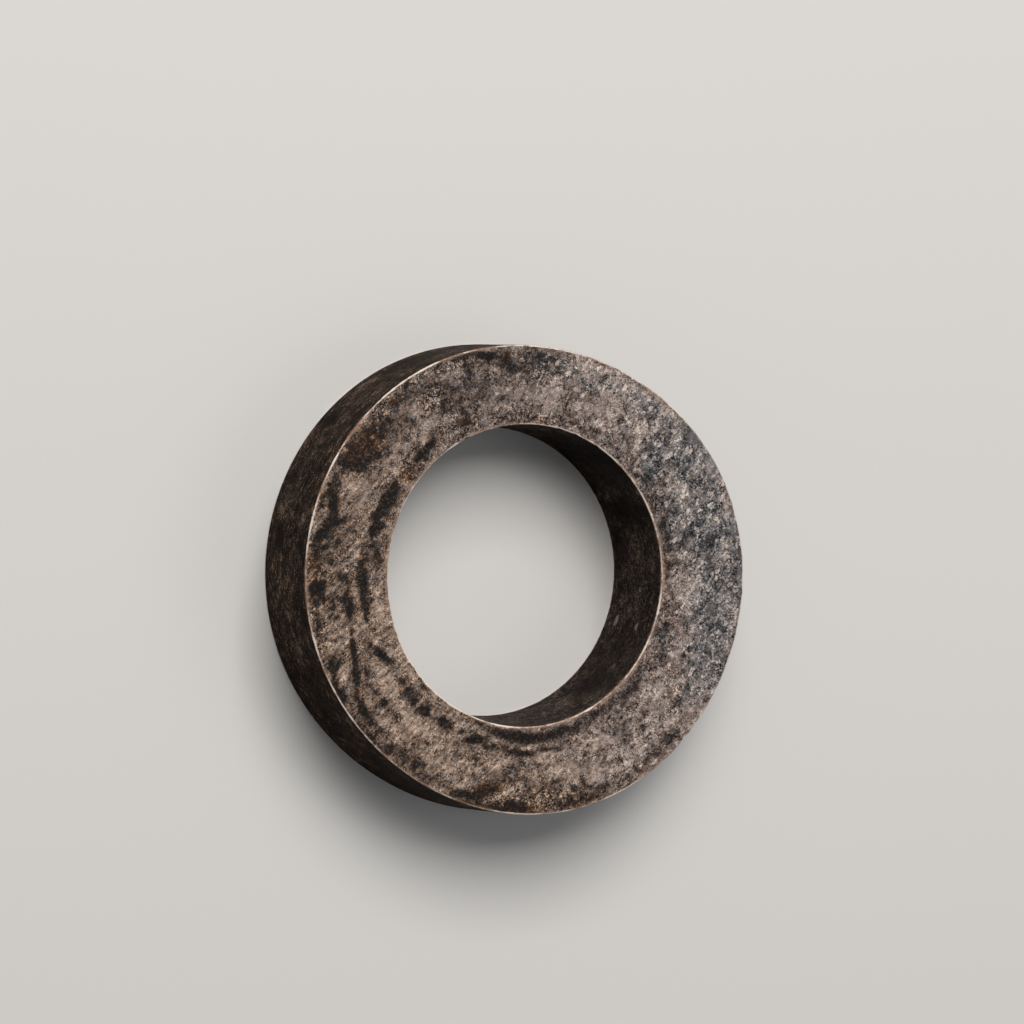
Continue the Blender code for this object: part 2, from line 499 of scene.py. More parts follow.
    rubble(-36.0, 28.0, 5.5, 4.0, 1.0, 25), rubble(-31.0, 36.5, 3.4, 2.0, 0.9, 40),
    rubble(-20.0, 38.2, 3.4, 2.6), rubble(-24.0, 26.2, 4.8, 2.0, 1.0, 42),
    rubble(-12.5, 33.4, 3.4, 1.6, 0.9, 10), rubble(-37.3, 4.6, 1.8, 2.6),
    rubble(-46.5, 4.0, 1.6, 5.0, 0.9, 5), rubble(-12.0, 46.0, 6.0, 2.0, 0.8, 10),
    rubble(-43.0, 19.5, 1.6, 4.0, 0.6, -18),
)

LOWER_LEFT_MARKS = (
    dark(-40.0, -2.6, 4.0, 0.9, 0.85, 92), dark(-39.3, -12.0, 3.8, 0.65, 0.9, 95),
    dark(-38.7, -17.9, 2.4, 0.9, 0.8, 95), dark(-37.8, -24.4, 3.4, 0.8, 0.75, 117),
    dark(-34.4, -28.6, 2.2, 0.8, 0.6, 140), dark(-36.6, -1.6, 4.2, 0.9, 0.9, 92),
    dark(-36.3, -5.6, 1.4, 0.5, 0.35, 95), dark(-35.7, -11.6, 1.0, 0.5, 0.7, 90),
    dark(-33.2, -13.6, 2.6, 0.9, 0.85, 138), dark(-32.1, -15.5, 0.8, 0.6, 0.45),
    dark(-36.6, -17.0, 0.6, 1.0, 0.7), dark(-35.2, -20.4, 1.6, 0.8, 0.5, 160),
    dark(-34.6, -21.6, 0.9, 0.6, 0.5), dark(-33.0, -23.5, 0.8, 1.0, 0.95, -25),
    dark(-27.2, -22.7, 2.3, 1.5, 0.75, 130), dark(-28.8, -19.5, 1.0, 0.7, 0.6),
    dark(-23.9, -25.9, 1.4, 1.1, 1.0, 10), dark(-20.0, -28.4, 2.6, 1.2, 0.75, 165),
    dark(-44.0, -14.4, 2.2, 1.6, 0.42, 100), dark(-43.7, -17.6, 1.4, 0.8, 0.6, 100),
    dark(-43.4, -3.6, 0.9, 0.7, 0.5), dark(-47.0, -5.6, 0.8, 3.4, 0.5), dark(-46.4, -1.2, 1.7, 1.8, 0.5),
    dark(-45.2, -9.8, 1.4, 1.0, 0.45), dark(-43.5, -21.4, 2.2, 1.1, 0.5, 118),
    dark(-30.6, -26.6, 1.3, 1.0, 0.5), dark(-33.0, -33.6, 1.6, 1.1, 0.35),
    dark(-24.6, -31.7, 1.2, 0.8, 0.35), dark(-17.0, -35.8, 1.3, 0.9, 0.5),
    dark(-5.4, -39.2, 1.8, 1.4, 0.55), dark(-16.6, -45.5, 3.8, 0.8, 0.75, -20),
    dark(-8.0, -47.3, 4.0, 0.8, 0.5, -10), dark(-11.8, -28.8, 2.4, 0.7, 0.6, -25),
    dark(-14.4, -39.6, 1.4, 0.8, 0.4), dark(-42.6, -20.4, 2.0, 0.8, 0.4, 120),
    dark(-15.9, -30.6, 0.9, 0.6, 0.8), dark(-13.4, -32.4, 2.3, 0.9, 0.95, -6),
    dark(-7.4, -31.3, 3.0, 0.9, 0.75, -16), dark(-2.0, -32.7, 4.0, 1.2, 0.9, -5),
    dark(-3.2, -35.7, 3.6, 0.8, 0.7, -12), dark(-13.0, -36.2, 0.9, 0.7, 0.5),
    dark(-25.6, -37.0, 1.3, 0.7, 0.6), dark(-29.5, -35.0, 4.6, 1.1, 0.5, 140),
    dark(-22.6, -40.2, 3.4, 0.7, 0.45, 148), dark(-16.0, -43.6, 3.2, 0.9, 0.7, 158),
    dark(-11.6, -43.2, 3.8, 1.3, 0.75, 12), dark(-5.2, -41.3, 4.0, 0.7, 0.5, -4),
    dark(-5.0, -46.6, 4.4, 0.8, 0.7, -5), dark(-36.0, -30.8, 2.6, 0.7, 0.5, 135),
    dark(-43.9, -4.4, 1.3, 0.9, 0.4), dark(-42.2, -10.2, 1.6, 0.8, 0.35, 10),
    dark(-42.0, -22.6, 1.2, 0.9, 0.4, 120), dark(-40.2, -26.0, 1.6, 0.8, 0.45, 120),
    dark(-32.2, -8.8, 0.9, 1.1, 0.3), dark(-33.0, -0.8, 0.9, 1.2, 0.3),
    dark(-24.4, -20.6, 1.5, 0.7, 0.5, -50), dark(-31.4, -25.0, 1.2, 0.9, 0.35),
    dark(-9.8, -33.6, 1.4, 0.7, 0.4), dark(-12.6, -46.4, 2.4, 0.8, 0.6, -14),
    dark(-4.0, -48.0, 4.0, 0.6, 0.45, -4), dark(-43.2, -5.8, 1.3, 1.0, 0.35),
    dark(-43.2, -16.4, 1.4, 1.2, 0.4), dark(-41.8, -22.0, 1.2, 1.2, 0.3),
    dark(-30.6, -16.4, 0.9, 2.4, 0.4), dark(-38.0, -28.0, 1.2, 1.0, 0.4),
    dark(-29.4, -28.0, 1.2, 1.1, 0.45), dark(-22.2, -31.2, 1.4, 1.2, 0.3),
    dark(-8.2, -34.0, 2.0, 1.0, 0.4), dark(-26.0, -36.0, 1.2, 1.0, 0.3), dark(-1.2, -43.2, 1.5, 1.3, 0.5),
    dark(-10.0, -47.2, 2.4, 0.7, 0.4, -10), dark(-23.4, -21.0, 1.2, 0.6, 0.35, -48),
    dark(-44.0, -1.8, 1.8, 1.2, 0.5), dark(-40.8, -1.6, 1.2, 1.4, 0.35), dark(-35.6, -3.4, 0.8, 1.4, 0.3),
    dark(-36.4, -11.6, 0.7, 1.6, 0.35), dark(-30.0, -19.0, 1.4, 1.0, 0.35),
    dark(-41.6, -23.6, 1.2, 1.2, 0.35), dark(-38.4, -29.0, 1.2, 0.8, 0.3, -45),
    dark(-12.4, -33.4, 1.6, 0.9, 0.35), dark(-39.6, -17.0, 0.8, 1.6, 0.1),
    dark(-35.6, -15.4, 0.7, 1.2, 0.3), dark(-37.0, -19.2, 0.8, 1.2, 0.3),
    dark(-43.0, -21.2, 1.0, 1.0, 0.3), dark(-38.6, -23.8, 1.0, 1.0, 0.3),
    dark(-18.4, -26.0, 1.6, 0.6, 0.3, -35), dark(-13.2, -37.4, 1.2, 1.0, 0.3),
    dark(-42.0, -21.8, 0.9, 1.0, 0.25), dark(-19.6, -38.0, 1.2, 1.0, 0.3),
    dark(-32.4, -34.2, 1.0, 0.8, 0.2, -40),
    rust(-38.0, -22.0, 1.0, 2.4, 0.6, -15), rust(-9.5, -42.4, 5.6, 1.5, 0.8, 8),
    rust(-3.0, -47.4, 6.0, 1.1, 0.8, 2), rust(-44.6, -20.5, 0.6, 3.6, 0.7, 25),
    rust(-30.0, -37.0, 5.0, 0.8, 0.35, 140), rust(-36.0, -9.0, 1.6, 0.8, 0.35),
    pale(-43.0, -10.6, 3.6, 1.7, 0.7, 15), pale(-41.8, -17.2, 1.3, 1.9, 0.9, -15),
    pale(-33.6, -4.6, 1.8, 2.4, 0.5), pale(-37.6, -7.4, 1.1, 2.2, 0.55),
    pale(-32.4, -18.2, 3.2, 1.9, 0.9, 25), pale(-30.4, -22.4, 1.1, 3.2, 0.6, -15),
    pale(-33.4, -27.4, 2.0, 1.5, 0.7, 150), pale(-27.2, -27.8, 3.8, 1.7, 0.8, 155),
    pale(-22.0, -31.0, 4.6, 2.2, 0.55, 160), pale(-19.4, -37.4, 4.4, 2.4, 0.5, 165),
    pale(-15.6, -41.4, 2.8, 0.9, 0.35, 10), pale(-8.6, -33.6, 1.8, 0.7, 0.45),
    pale(-9.6, -37.6, 3.0, 1.2, 0.45, 5), pale(-1.4, -34.9, 2.2, 0.7, 0.8),
    pale(-4.6, -44.2, 4.0, 0.9, 0.4, 12), pale(-28.0, -15.0, 1.0, 4.6, 0.4, 25),
    pale(-45.6, -12.4, 0.7, 2.2, 0.6, 15), pale(-35.6, -22.8, 0.9, 1.8, 0.65, -20),
    pale(-30.2, -14.6, 1.6, 2.8, 0.6, 35), pale(-34.8, -16.4, 1.4, 1.2, 0.55),
    pale(-31.6, -20.8, 2.0, 1.7, 0.95), pale(-29.0, -24.2, 1.4, 1.4, 0.75),
    pale(-24.0, -28.6, 2.2, 1.1, 0.85, -20), pale(-22.6, -23.2, 1.8, 0.8, 0.35, -45),
    pale(-18.2, -26.2, 3.2, 1.0, 0.65, -30), pale(-23.3, -36.0, 1.9, 2.6, 0.75),
    pale(-19.2, -41.9, 1.8, 1.0, 0.55, -15), pale(-1.4, -43.4, 1.6, 1.2, 0.6),
    pale(-43.2, -7.4, 1.8, 1.0, 0.4, 20), pale(-34.8, -11.6, 1.2, 1.0, 0.5),
    pale(-29.0, -31.2, 1.8, 1.4, 0.45), pale(-36.0, -7.8, 0.9, 1.4, 0.45),
    pale(-35.0, -6.8, 1.2, 1.1, 0.5), pale(-28.4, -15.4, 1.0, 2.2, 0.4, 30),
    pale(-20.6, -32.4, 2.2, 1.6, 0.55, -10), pale(-22.0, -42.6, 2.2, 0.7, 0.6, -28),
    pale(-17.2, -41.2, 2.0, 1.0, 0.5, -15), pale(-11.2, -31.0, 1.1, 0.7, 0.5),
    pale(-38.4, -0.8, 0.7, 1.4, 0.5), pale(-34.9, -16.4, 1.0, 1.0, 0.35),
    pale(-37.0, -2.2, 1.0, 1.8, 0.6), pale(-43.4, -11.6, 1.3, 2.2, 0.5),
    pale(-36.2, -12.5, 0.9, 3.2, 0.4), pale(-33.6, -15.0, 0.9, 2.4, 0.4),
    pale(-32.6, -24.6, 1.2, 2.8, 0.6), pale(-37.2, -21.6, 1.0, 2.0, 0.3),
    pale(-26.6, -24.6, 1.1, 1.2, 0.7), pale(-26.2, -19.2, 1.2, 1.8, 0.6, 40),
    pale(-22.0, -26.6, 1.6, 1.4, 0.5), pale(-17.0, -29.0, 2.6, 0.9, 0.65, -20),
    pale(-32.0, -32.4, 1.6, 1.1, 0.45, -30), pale(-13.6, -38.0, 2.0, 1.6, 0.25),
    pale(-20.0, -38.4, 1.8, 1.2, 0.45), pale(-6.0, -38.2, 2.0, 1.2, 0.5),
    pale(-5.0, -43.2, 1.2, 1.6, 0.6), pale(-9.4, -44.6, 1.6, 0.9, 0.45),
    pale(-24.0, -41.6, 1.8, 0.6, 0.4, -30), pale(-33.6, -2.0, 1.2, 2.0, 0.45),
    pale(-43.2, -7.8, 1.2, 1.4, 0.4), pale(-34.0, -11.0, 0.9, 1.2, 0.4),
    pale(-32.4, -16.0, 1.0, 1.6, 0.5), pale(-44.4, -16.4, 1.0, 1.2, 0.4),
    pale(-37.0, -22.8, 0.9, 1.6, 0.35), pale(-30.8, -27.8, 1.4, 1.2, 0.45),
    pale(-27.4, -25.0, 1.0, 1.0, 0.4), pale(-32.2, -33.6, 1.4, 1.0, 0.35, -35),
    pale(-18.0, -34.0, 1.6, 1.0, 0.35), pale(-15.2, -39.6, 1.2, 1.0, 0.35),
    pale(-19.6, -42.0, 1.6, 1.0, 0.4), pale(-8.4, -43.6, 1.4, 1.0, 0.45),
    pale(-2.6, -42.0, 1.0, 1.0, 0.35), pale(-13.4, -28.6, 1.6, 0.6, 0.35, -20),
    pale(-37.0, -1.6, 0.9, 1.4, 0.4), pale(-33.2, -4.8, 0.9, 1.4, 0.35), pale(-47.3, -7.6, 0.7, 1.6, 0.4),
    pale(-44.6, -16.2, 1.0, 1.0, 0.35), pale(-34.8, -17.0, 0.9, 1.0, 0.35),
    pale(-25.2, -20.0, 1.4, 0.8, 0.35, -45), pale(-24.4, -26.2, 1.2, 1.0, 0.4),
    pale(-19.6, -27.4, 1.4, 0.9, 0.4, -30), pale(-33.2, -23.8, 0.9, 1.4, 0.4),
    pale(-31.2, -29.2, 1.2, 1.0, 0.3), pale(-30.0, -34.0, 1.4, 1.0, 0.3, -30),
    pale(-7.0, -43.0, 1.2, 1.0, 0.35), pale(-1.4, -42.0, 1.0, 1.0, 0.35),
    pale(-15.4, -40.2, 1.2, 1.0, 0.3), pale(-34.0, -11.8, 0.9, 1.2, 0.4),
    pale(-32.4, -16.8, 1.0, 1.0, 0.4), pale(-26.2, -24.0, 1.2, 1.0, 0.45),
    pale(-42.7, -11.8, 1.0, 1.4, 0.3), pale(-25.2, -41.4, 1.6, 0.6, 0.35, -32),
    pale(-37.0, -2.6, 0.9, 1.2, 0.35), pale(-32.5, -5.8, 0.7, 1.6, 0.3),
    calm(-27.0, -29.8, 4.0, 3.0, 0.7, -45), calm(-31.6, -21.8, 2.6, 2.0, 0.6),
    calm(-8.0, -39.6, 4.5, 1.6, 0.7),
    rubble(-46.5, -11.0, 1.6, 8.0, 0.8, 8), rubble(-5.0, -45.0, 8.5, 2.8, 1.0, -6),
    rubble(-36.5, -30.0, 1.8, 5.0, 0.5, 35),
)

LOWER_RIGHT_MARKS = (
    dark(5.6, -32.0, 4.2, 1.1, 0.64, 14), dark(3.8, -35.3, 3.4, 0.45, 0.64, -2),
    dark(13.2, -28.8, 4.2, 1.0, 0.45, 24), dark(4.6, -42.6, 3.4, 1.6, 0.21),
    dark(11.0, -42.0, 0.9, 1.2, 0.56), dark(14.2, -43.8, 4.0, 0.8, 0.52, 2),
    dark(21.8, -42.2, 3.4, 0.8, 0.38, 27), dark(8.4, -46.4, 5.4, 0.8, 0.45, 10),
    dark(29.8, -35.4, 4.6, 1.5, 0.46, 38), dark(25.1, -31.8, 0.5, 0.4, 0.68),
    dark(23.7, -31.3, 0.4, 0.35, 0.68), dark(18.0, -31.4, 3.0, 1.8, 0.27),
    dark(22.6, -23.4, 3.0, 1.4, 0.52, 42), dark(28.9, -13.2, 1.3, 1.6, 0.2),
    dark(34.7, -17.4, 0.8, 0.6, 0.75), dark(34.6, -21.0, 0.8, 0.6, 0.52),
    dark(34.2, -24.6, 0.7, 0.5, 0.38), dark(33.8, -26.8, 2.2, 0.9, 0.34, 60),
    dark(39.6, -27.0, 1.0, 0.7, 0.45), dark(22.0, -36.2, 0.5, 0.5, 0.45),
    dark(36.6, -19.0, 1.2, 0.9, 0.38), dark(31.6, -1.0, 0.8, 2.4, 0.3),
    dark(31.0, -10.8, 0.7, 1.5, 0.3, -10), dark(16.4, -27.8, 2.2, 0.8, 0.34, 30),
    dark(9.6, -31.8, 1.7, 1.3, 0.38), dark(12.0, -46.2, 4.0, 0.7, 0.38, 14),
    dark(23.4, -39.6, 2.0, 0.9, 0.3, 35), dark(12.6, -30.4, 1.4, 0.8, 0.3, 20),
    dark(17.4, -32.6, 1.5, 0.9, 0.3), dark(12.0, -35.2, 1.6, 0.8, 0.3, 10),
    dark(9.0, -44.0, 1.3, 0.8, 0.38), dark(35.3, -23.6, 0.9, 1.2, 0.34), dark(27.4, -18.2, 1.2, 0.9, 0.3),
    dark(26.4, -27.0, 1.6, 1.0, 0.3, 40), dark(44.2, -18.0, 0.9, 1.0, 0.3),
    dark(44.6, -5.0, 1.0, 0.9, 0.3), dark(19.4, -37.4, 1.5, 0.8, 0.26, 20),
    dark(36.2, -4.2, 0.9, 1.0, 0.26), dark(30.0, -17.4, 1.5, 1.2, 0.5, 30),
    dark(41.5, -9.0, 1.1, 1.1, 0.45), dark(37.0, -14.0, 1.1, 1.0, 0.4), dark(44.0, -12.6, 1.2, 1.0, 0.4),
    dark(43.0, -3.0, 1.4, 1.0, 0.35), dark(41.0, -18.0, 1.0, 1.0, 0.4),
    dark(21.6, -26.8, 1.4, 1.0, 0.4, 35), dark(28.0, -22.8, 1.2, 1.0, 0.3),
    dark(21.0, -34.0, 1.4, 1.1, 0.4), dark(12.0, -37.2, 1.3, 1.0, 0.35),
    dark(15.4, -38.4, 1.2, 1.0, 0.35), dark(17.0, -42.4, 1.2, 1.0, 0.3), dark(3.0, -38.8, 2.0, 0.9, 0.35),
    dark(29.0, -32.0, 1.6, 1.2, 0.35, -40), dark(39.2, -1.6, 1.2, 1.0, 0.3),
    dark(31.2, -11.4, 1.4, 1.4, 0.45), dark(41.4, -11.8, 1.4, 1.0, 0.4),
    dark(36.0, -16.2, 1.2, 1.0, 0.25), dark(25.4, -29.4, 1.8, 1.1, 0.45, 35),
    dark(27.0, -37.6, 1.8, 1.4, 0.25, 40), dark(36.0, -25.6, 1.0, 1.6, 0.3),
    dark(19.8, -42.4, 1.2, 1.0, 0.3), dark(12.0, -30.4, 2.4, 0.7, 0.2, 10),
    dark(16.0, -36.9, 1.2, 0.9, 0.3), dark(29.6, -18.9, 1.3, 1.1, 0.35, 40),
    dark(20.8, -26.3, 1.2, 0.8, 0.3, 40), dark(12.8, -39.2, 1.2, 1.0, 0.3),
    dark(42.7, -17.4, 0.9, 1.2, 0.3, -20), dark(21.6, -32.5, 1.2, 0.9, 0.3),
    dark(32.0, -26.9, 1.2, 1.0, 0.25), dark(13.8, -45.8, 1.2, 0.7, 0.25),
    dark(19.2, -38.9, 1.2, 1.0, 0.25),
    rust(2.0, -44.4, 3.4, 1.6, 0.55), rust(11.0, -46.8, 6.0, 0.7, 0.75, 14),
    rust(24.6, -41.4, 5.4, 1.1, 0.5, 30), rust(13.2, -27.7, 1.6, 0.4, 0.8, 22),
    rust(30.4, -36.2, 3.0, 1.0, 0.4, 40), rust(31.0, -7.0, 0.7, 3.4, 0.45, 12),
    rust(46.6, -9.6, 1.0, 1.6, 0.35),
    blue(42.2, -8.0, 6.4, 9.6, 0.8, 5), blue(40.0, -20.0, 5.6, 6.4, 0.72, 20),
    blue(35.4, -26.4, 2.6, 2.6, 0.5), blue(30.0, -14.0, 2.4, 4.4, 0.4, 10),
    blue(14.6, -41.2, 2.2, 1.8, 0.35), blue(24.2, -35.4, 1.4, 3.0, 0.35), blue(47.8, -3.0, 1.4, 6.0, 0.6),
    pale(3.6, -39.4, 4.6, 1.4, 0.6, 3), pale(10.8, -36.2, 4.4, 1.5, 0.5, 12),
    pale(14.8, -41.2, 3.0, 2.0, 0.6, 5), pale(7.6, -40.0, 2.4, 1.3, 0.6),
    pale(20.4, -37.0, 3.2, 1.8, 0.6, 20), pale(19.8, -34.8, 2.2, 1.0, 0.6, 20),
    pale(28.4, -32.4, 3.4, 1.1, 0.6, 30), pale(26.4, -25.0, 3.6, 2.6, 0.5, 40),
    pale(33.4, -22.6, 1.6, 1.3, 0.6), pale(36.8, -5.4, 2.8, 3.2, 0.65),
    pale(37.4, -13.6, 3.2, 1.3, 0.6, 10), pale(37.4, -18.0, 1.8, 1.3, 0.5),
    pale(46.8, -9.6, 0.9, 2.4, 0.7, -10), pale(44.6, -6.0, 1.6, 2.0, 0.4),
    pale(15.4, -34.2, 3.6, 1.4, 0.5, 15), pale(6.4, -44.6, 2.8, 0.9, 0.5, 20),
    pale(31.4, -24.4, 3.6, 3.0, 0.55, 40), pale(36.6, -27.4, 4.8, 3.4, 0.75, -50),
    pale(33.0, -31.0, 3.2, 2.4, 0.55), pale(27.6, -29.2, 3.0, 2.2, 0.5, 30),
    pale(21.4, -31.4, 3.4, 1.8, 0.5, 30), pale(25.4, -36.8, 3.4, 1.4, 0.6, 35),
    pale(20.4, -40.4, 2.6, 1.3, 0.5, 10), pale(30.2, -37.8, 2.6, 1.0, 0.5, 40),
    pale(39.4, -14.0, 2.6, 2.4, 0.5), pale(42.8, -17.4, 2.2, 2.0, 0.6), pale(38.4, -8.0, 2.0, 1.6, 0.5),
    pale(34.4, -2.0, 1.4, 1.9, 0.5), pale(30.0, -19.0, 2.6, 2.0, 0.4),
    pale(10.8, -43.6, 3.6, 1.0, 0.5, 5), pale(41.6, -23.4, 2.0, 1.4, 0.5, -60),
    pale(44.6, -12.4, 1.4, 1.6, 0.4), pale(40.0, -1.6, 2.4, 1.4, 0.4), pale(33.6, -14.6, 2.0, 1.6, 0.35),
    pale(2.4, -36.9, 4.4, 0.9, 0.7, 2), pale(0.6, -41.8, 1.6, 1.6, 0.55),
    pale(23.2, -32.8, 1.8, 1.3, 0.6, 20), pale(28.4, -38.4, 2.6, 0.8, 0.55, 40),
    pale(20.0, -43.2, 2.4, 0.8, 0.5, 20), pale(14.8, -37.0, 2.2, 1.1, 0.4, 10),
    pale(33.2, -17.2, 1.6, 1.2, 0.6, 30), pale(26.4, -17.4, 1.4, 1.0, 0.5, 45),
    pale(29.6, -22.2, 1.6, 1.0, 0.4, 20), pale(38.2, -8.0, 1.3, 1.2, 0.5),
    pale(34.4, -33.2, 2.0, 1.0, 0.5, 50), pale(39.0, -20.4, 1.4, 1.0, 0.4),
    pale(19.6, -28.2, 1.6, 0.9, 0.35, 40), pale(44.2, -7.4, 0.9, 1.2, 0.4),
    pale(44.6, -7.4, 1.3, 1.8, 0.7, 10), pale(37.6, -18.2, 1.5, 1.6, 0.7),
    pale(36.0, -7.4, 1.0, 1.6, 0.45), pale(41.2, -15.0, 1.2, 1.0, 0.4),
    pale(18.6, -30.4, 2.4, 1.2, 0.45, 10), pale(24.0, -34.4, 1.1, 1.9, 0.65),
    pale(23.0, -41.0, 1.1, 2.2, 0.7, 15), pale(7.2, -36.4, 1.6, 1.6, 0.7),
    pale(11.0, -41.2, 1.3, 1.3, 0.45), pale(8.0, -43.0, 1.6, 1.2, 0.4), pale(28.0, -36.0, 1.4, 1.2, 0.5),
    pale(32.0, -33.4, 1.5, 1.5, 0.5), pale(22.0, -23.6, 1.6, 0.9, 0.5, 45),
    pale(34.0, -27.0, 1.8, 1.2, 0.3), pale(0.5, -45.0, 1.4, 1.4, 0.4), pale(10.4, -46.0, 1.4, 0.8, 0.4),
    pale(33.6, -2.8, 1.2, 1.6, 0.45), pale(37.4, -8.0, 1.2, 1.4, 0.4),
    pale(28.8, -21.4, 1.6, 1.2, 0.45, 45), pale(31.0, -20.4, 1.2, 1.0, 0.3),
    pale(37.8, -22.6, 1.4, 2.0, 0.4), pale(43.6, -19.6, 0.9, 1.6, 0.4, -25),
    pale(30.4, -28.6, 1.2, 1.6, 0.45, -30), pale(28.8, -31.2, 1.4, 1.6, 0.4, -30),
    pale(20.2, -34.8, 1.8, 1.4, 0.5), pale(16.0, -34.8, 1.4, 1.2, 0.35), pale(12.0, -38.2, 1.6, 1.6, 0.1),
    pale(16.8, -43.4, 1.4, 1.0, 0.35), pale(7.4, -38.6, 1.4, 1.2, 0.3), pale(10.6, -46.0, 1.2, 0.7, 0.35),
    pale(36.2, -2.4, 1.2, 1.4, 0.6), pale(39.8, -22.2, 1.1, 1.2, 0.4), pale(41.5, -15.2, 1.3, 1.0, 0.35),
    pale(27.6, -14.8, 0.9, 1.6, 0.45, 20), pale(25.4, -26.8, 1.0, 1.0, 0.35),
    pale(18.4, -27.9, 1.4, 0.8, 0.35, 30), pale(8.2, -43.8, 1.2, 1.0, 0.35),
    pale(11.4, -45.6, 1.2, 0.8, 0.3), pale(6.6, -41.2, 1.2, 1.0, 0.3),
    pale(9.8, -33.2, 1.4, 0.9, 0.35, 10), pale(24.0, -31.8, 1.2, 1.0, 0.3),
    pale(28.2, -36.8, 1.0, 1.0, 0.3), pale(38.0, -7.4, 1.4, 1.4, 0.6),
    pale(27.2, -16.2, 0.9, 1.4, 0.4, 30), pale(28.8, -31.8, 1.2, 1.2, 0.4),
    pale(20.6, -35.2, 1.2, 1.0, 0.4), pale(17.6, -37.4, 1.2, 1.0, 0.35),
    pale(10.4, -38.0, 1.2, 1.0, 0.35), pale(9.8, -32.4, 1.2, 0.8, 0.35), pale(4.2, -40.4, 1.2, 1.0, 0.35),
    pale(47.0, -5.4, 0.7, 1.4, 0.4),
    calm(41.2, -8.6, 1.4, 2.2, 0.6), calm(48.2, -1.6, 0.6, 3.0, 0.9), calm(45.6, -4.0, 0.9, 1.3, 0.4),
    calm(14.8, -41.4, 2.2, 1.5, 0.7), calm(29.6, -26.4, 3.6, 2.4, 0.8, 45),
    calm(16.6, -33.6, 4.5, 2.2, 0.8, 10), calm(11.0, -40.2, 4.0, 2.6, 0.7),
    calm(24.0, -31.4, 3.0, 2.0, 0.5, 30),
    rubble(7.0, -45.0, 5.0, 2.4, 0.9, 5), rubble(24.0, -34.0, 4.0, 2.5, 0.5, 40),
    rubble(31.0, -26.0, 4.0, 3.0, 0.5, 40), rubble(20.5, -41.5, 5.0, 1.6, 0.5, 22),
)

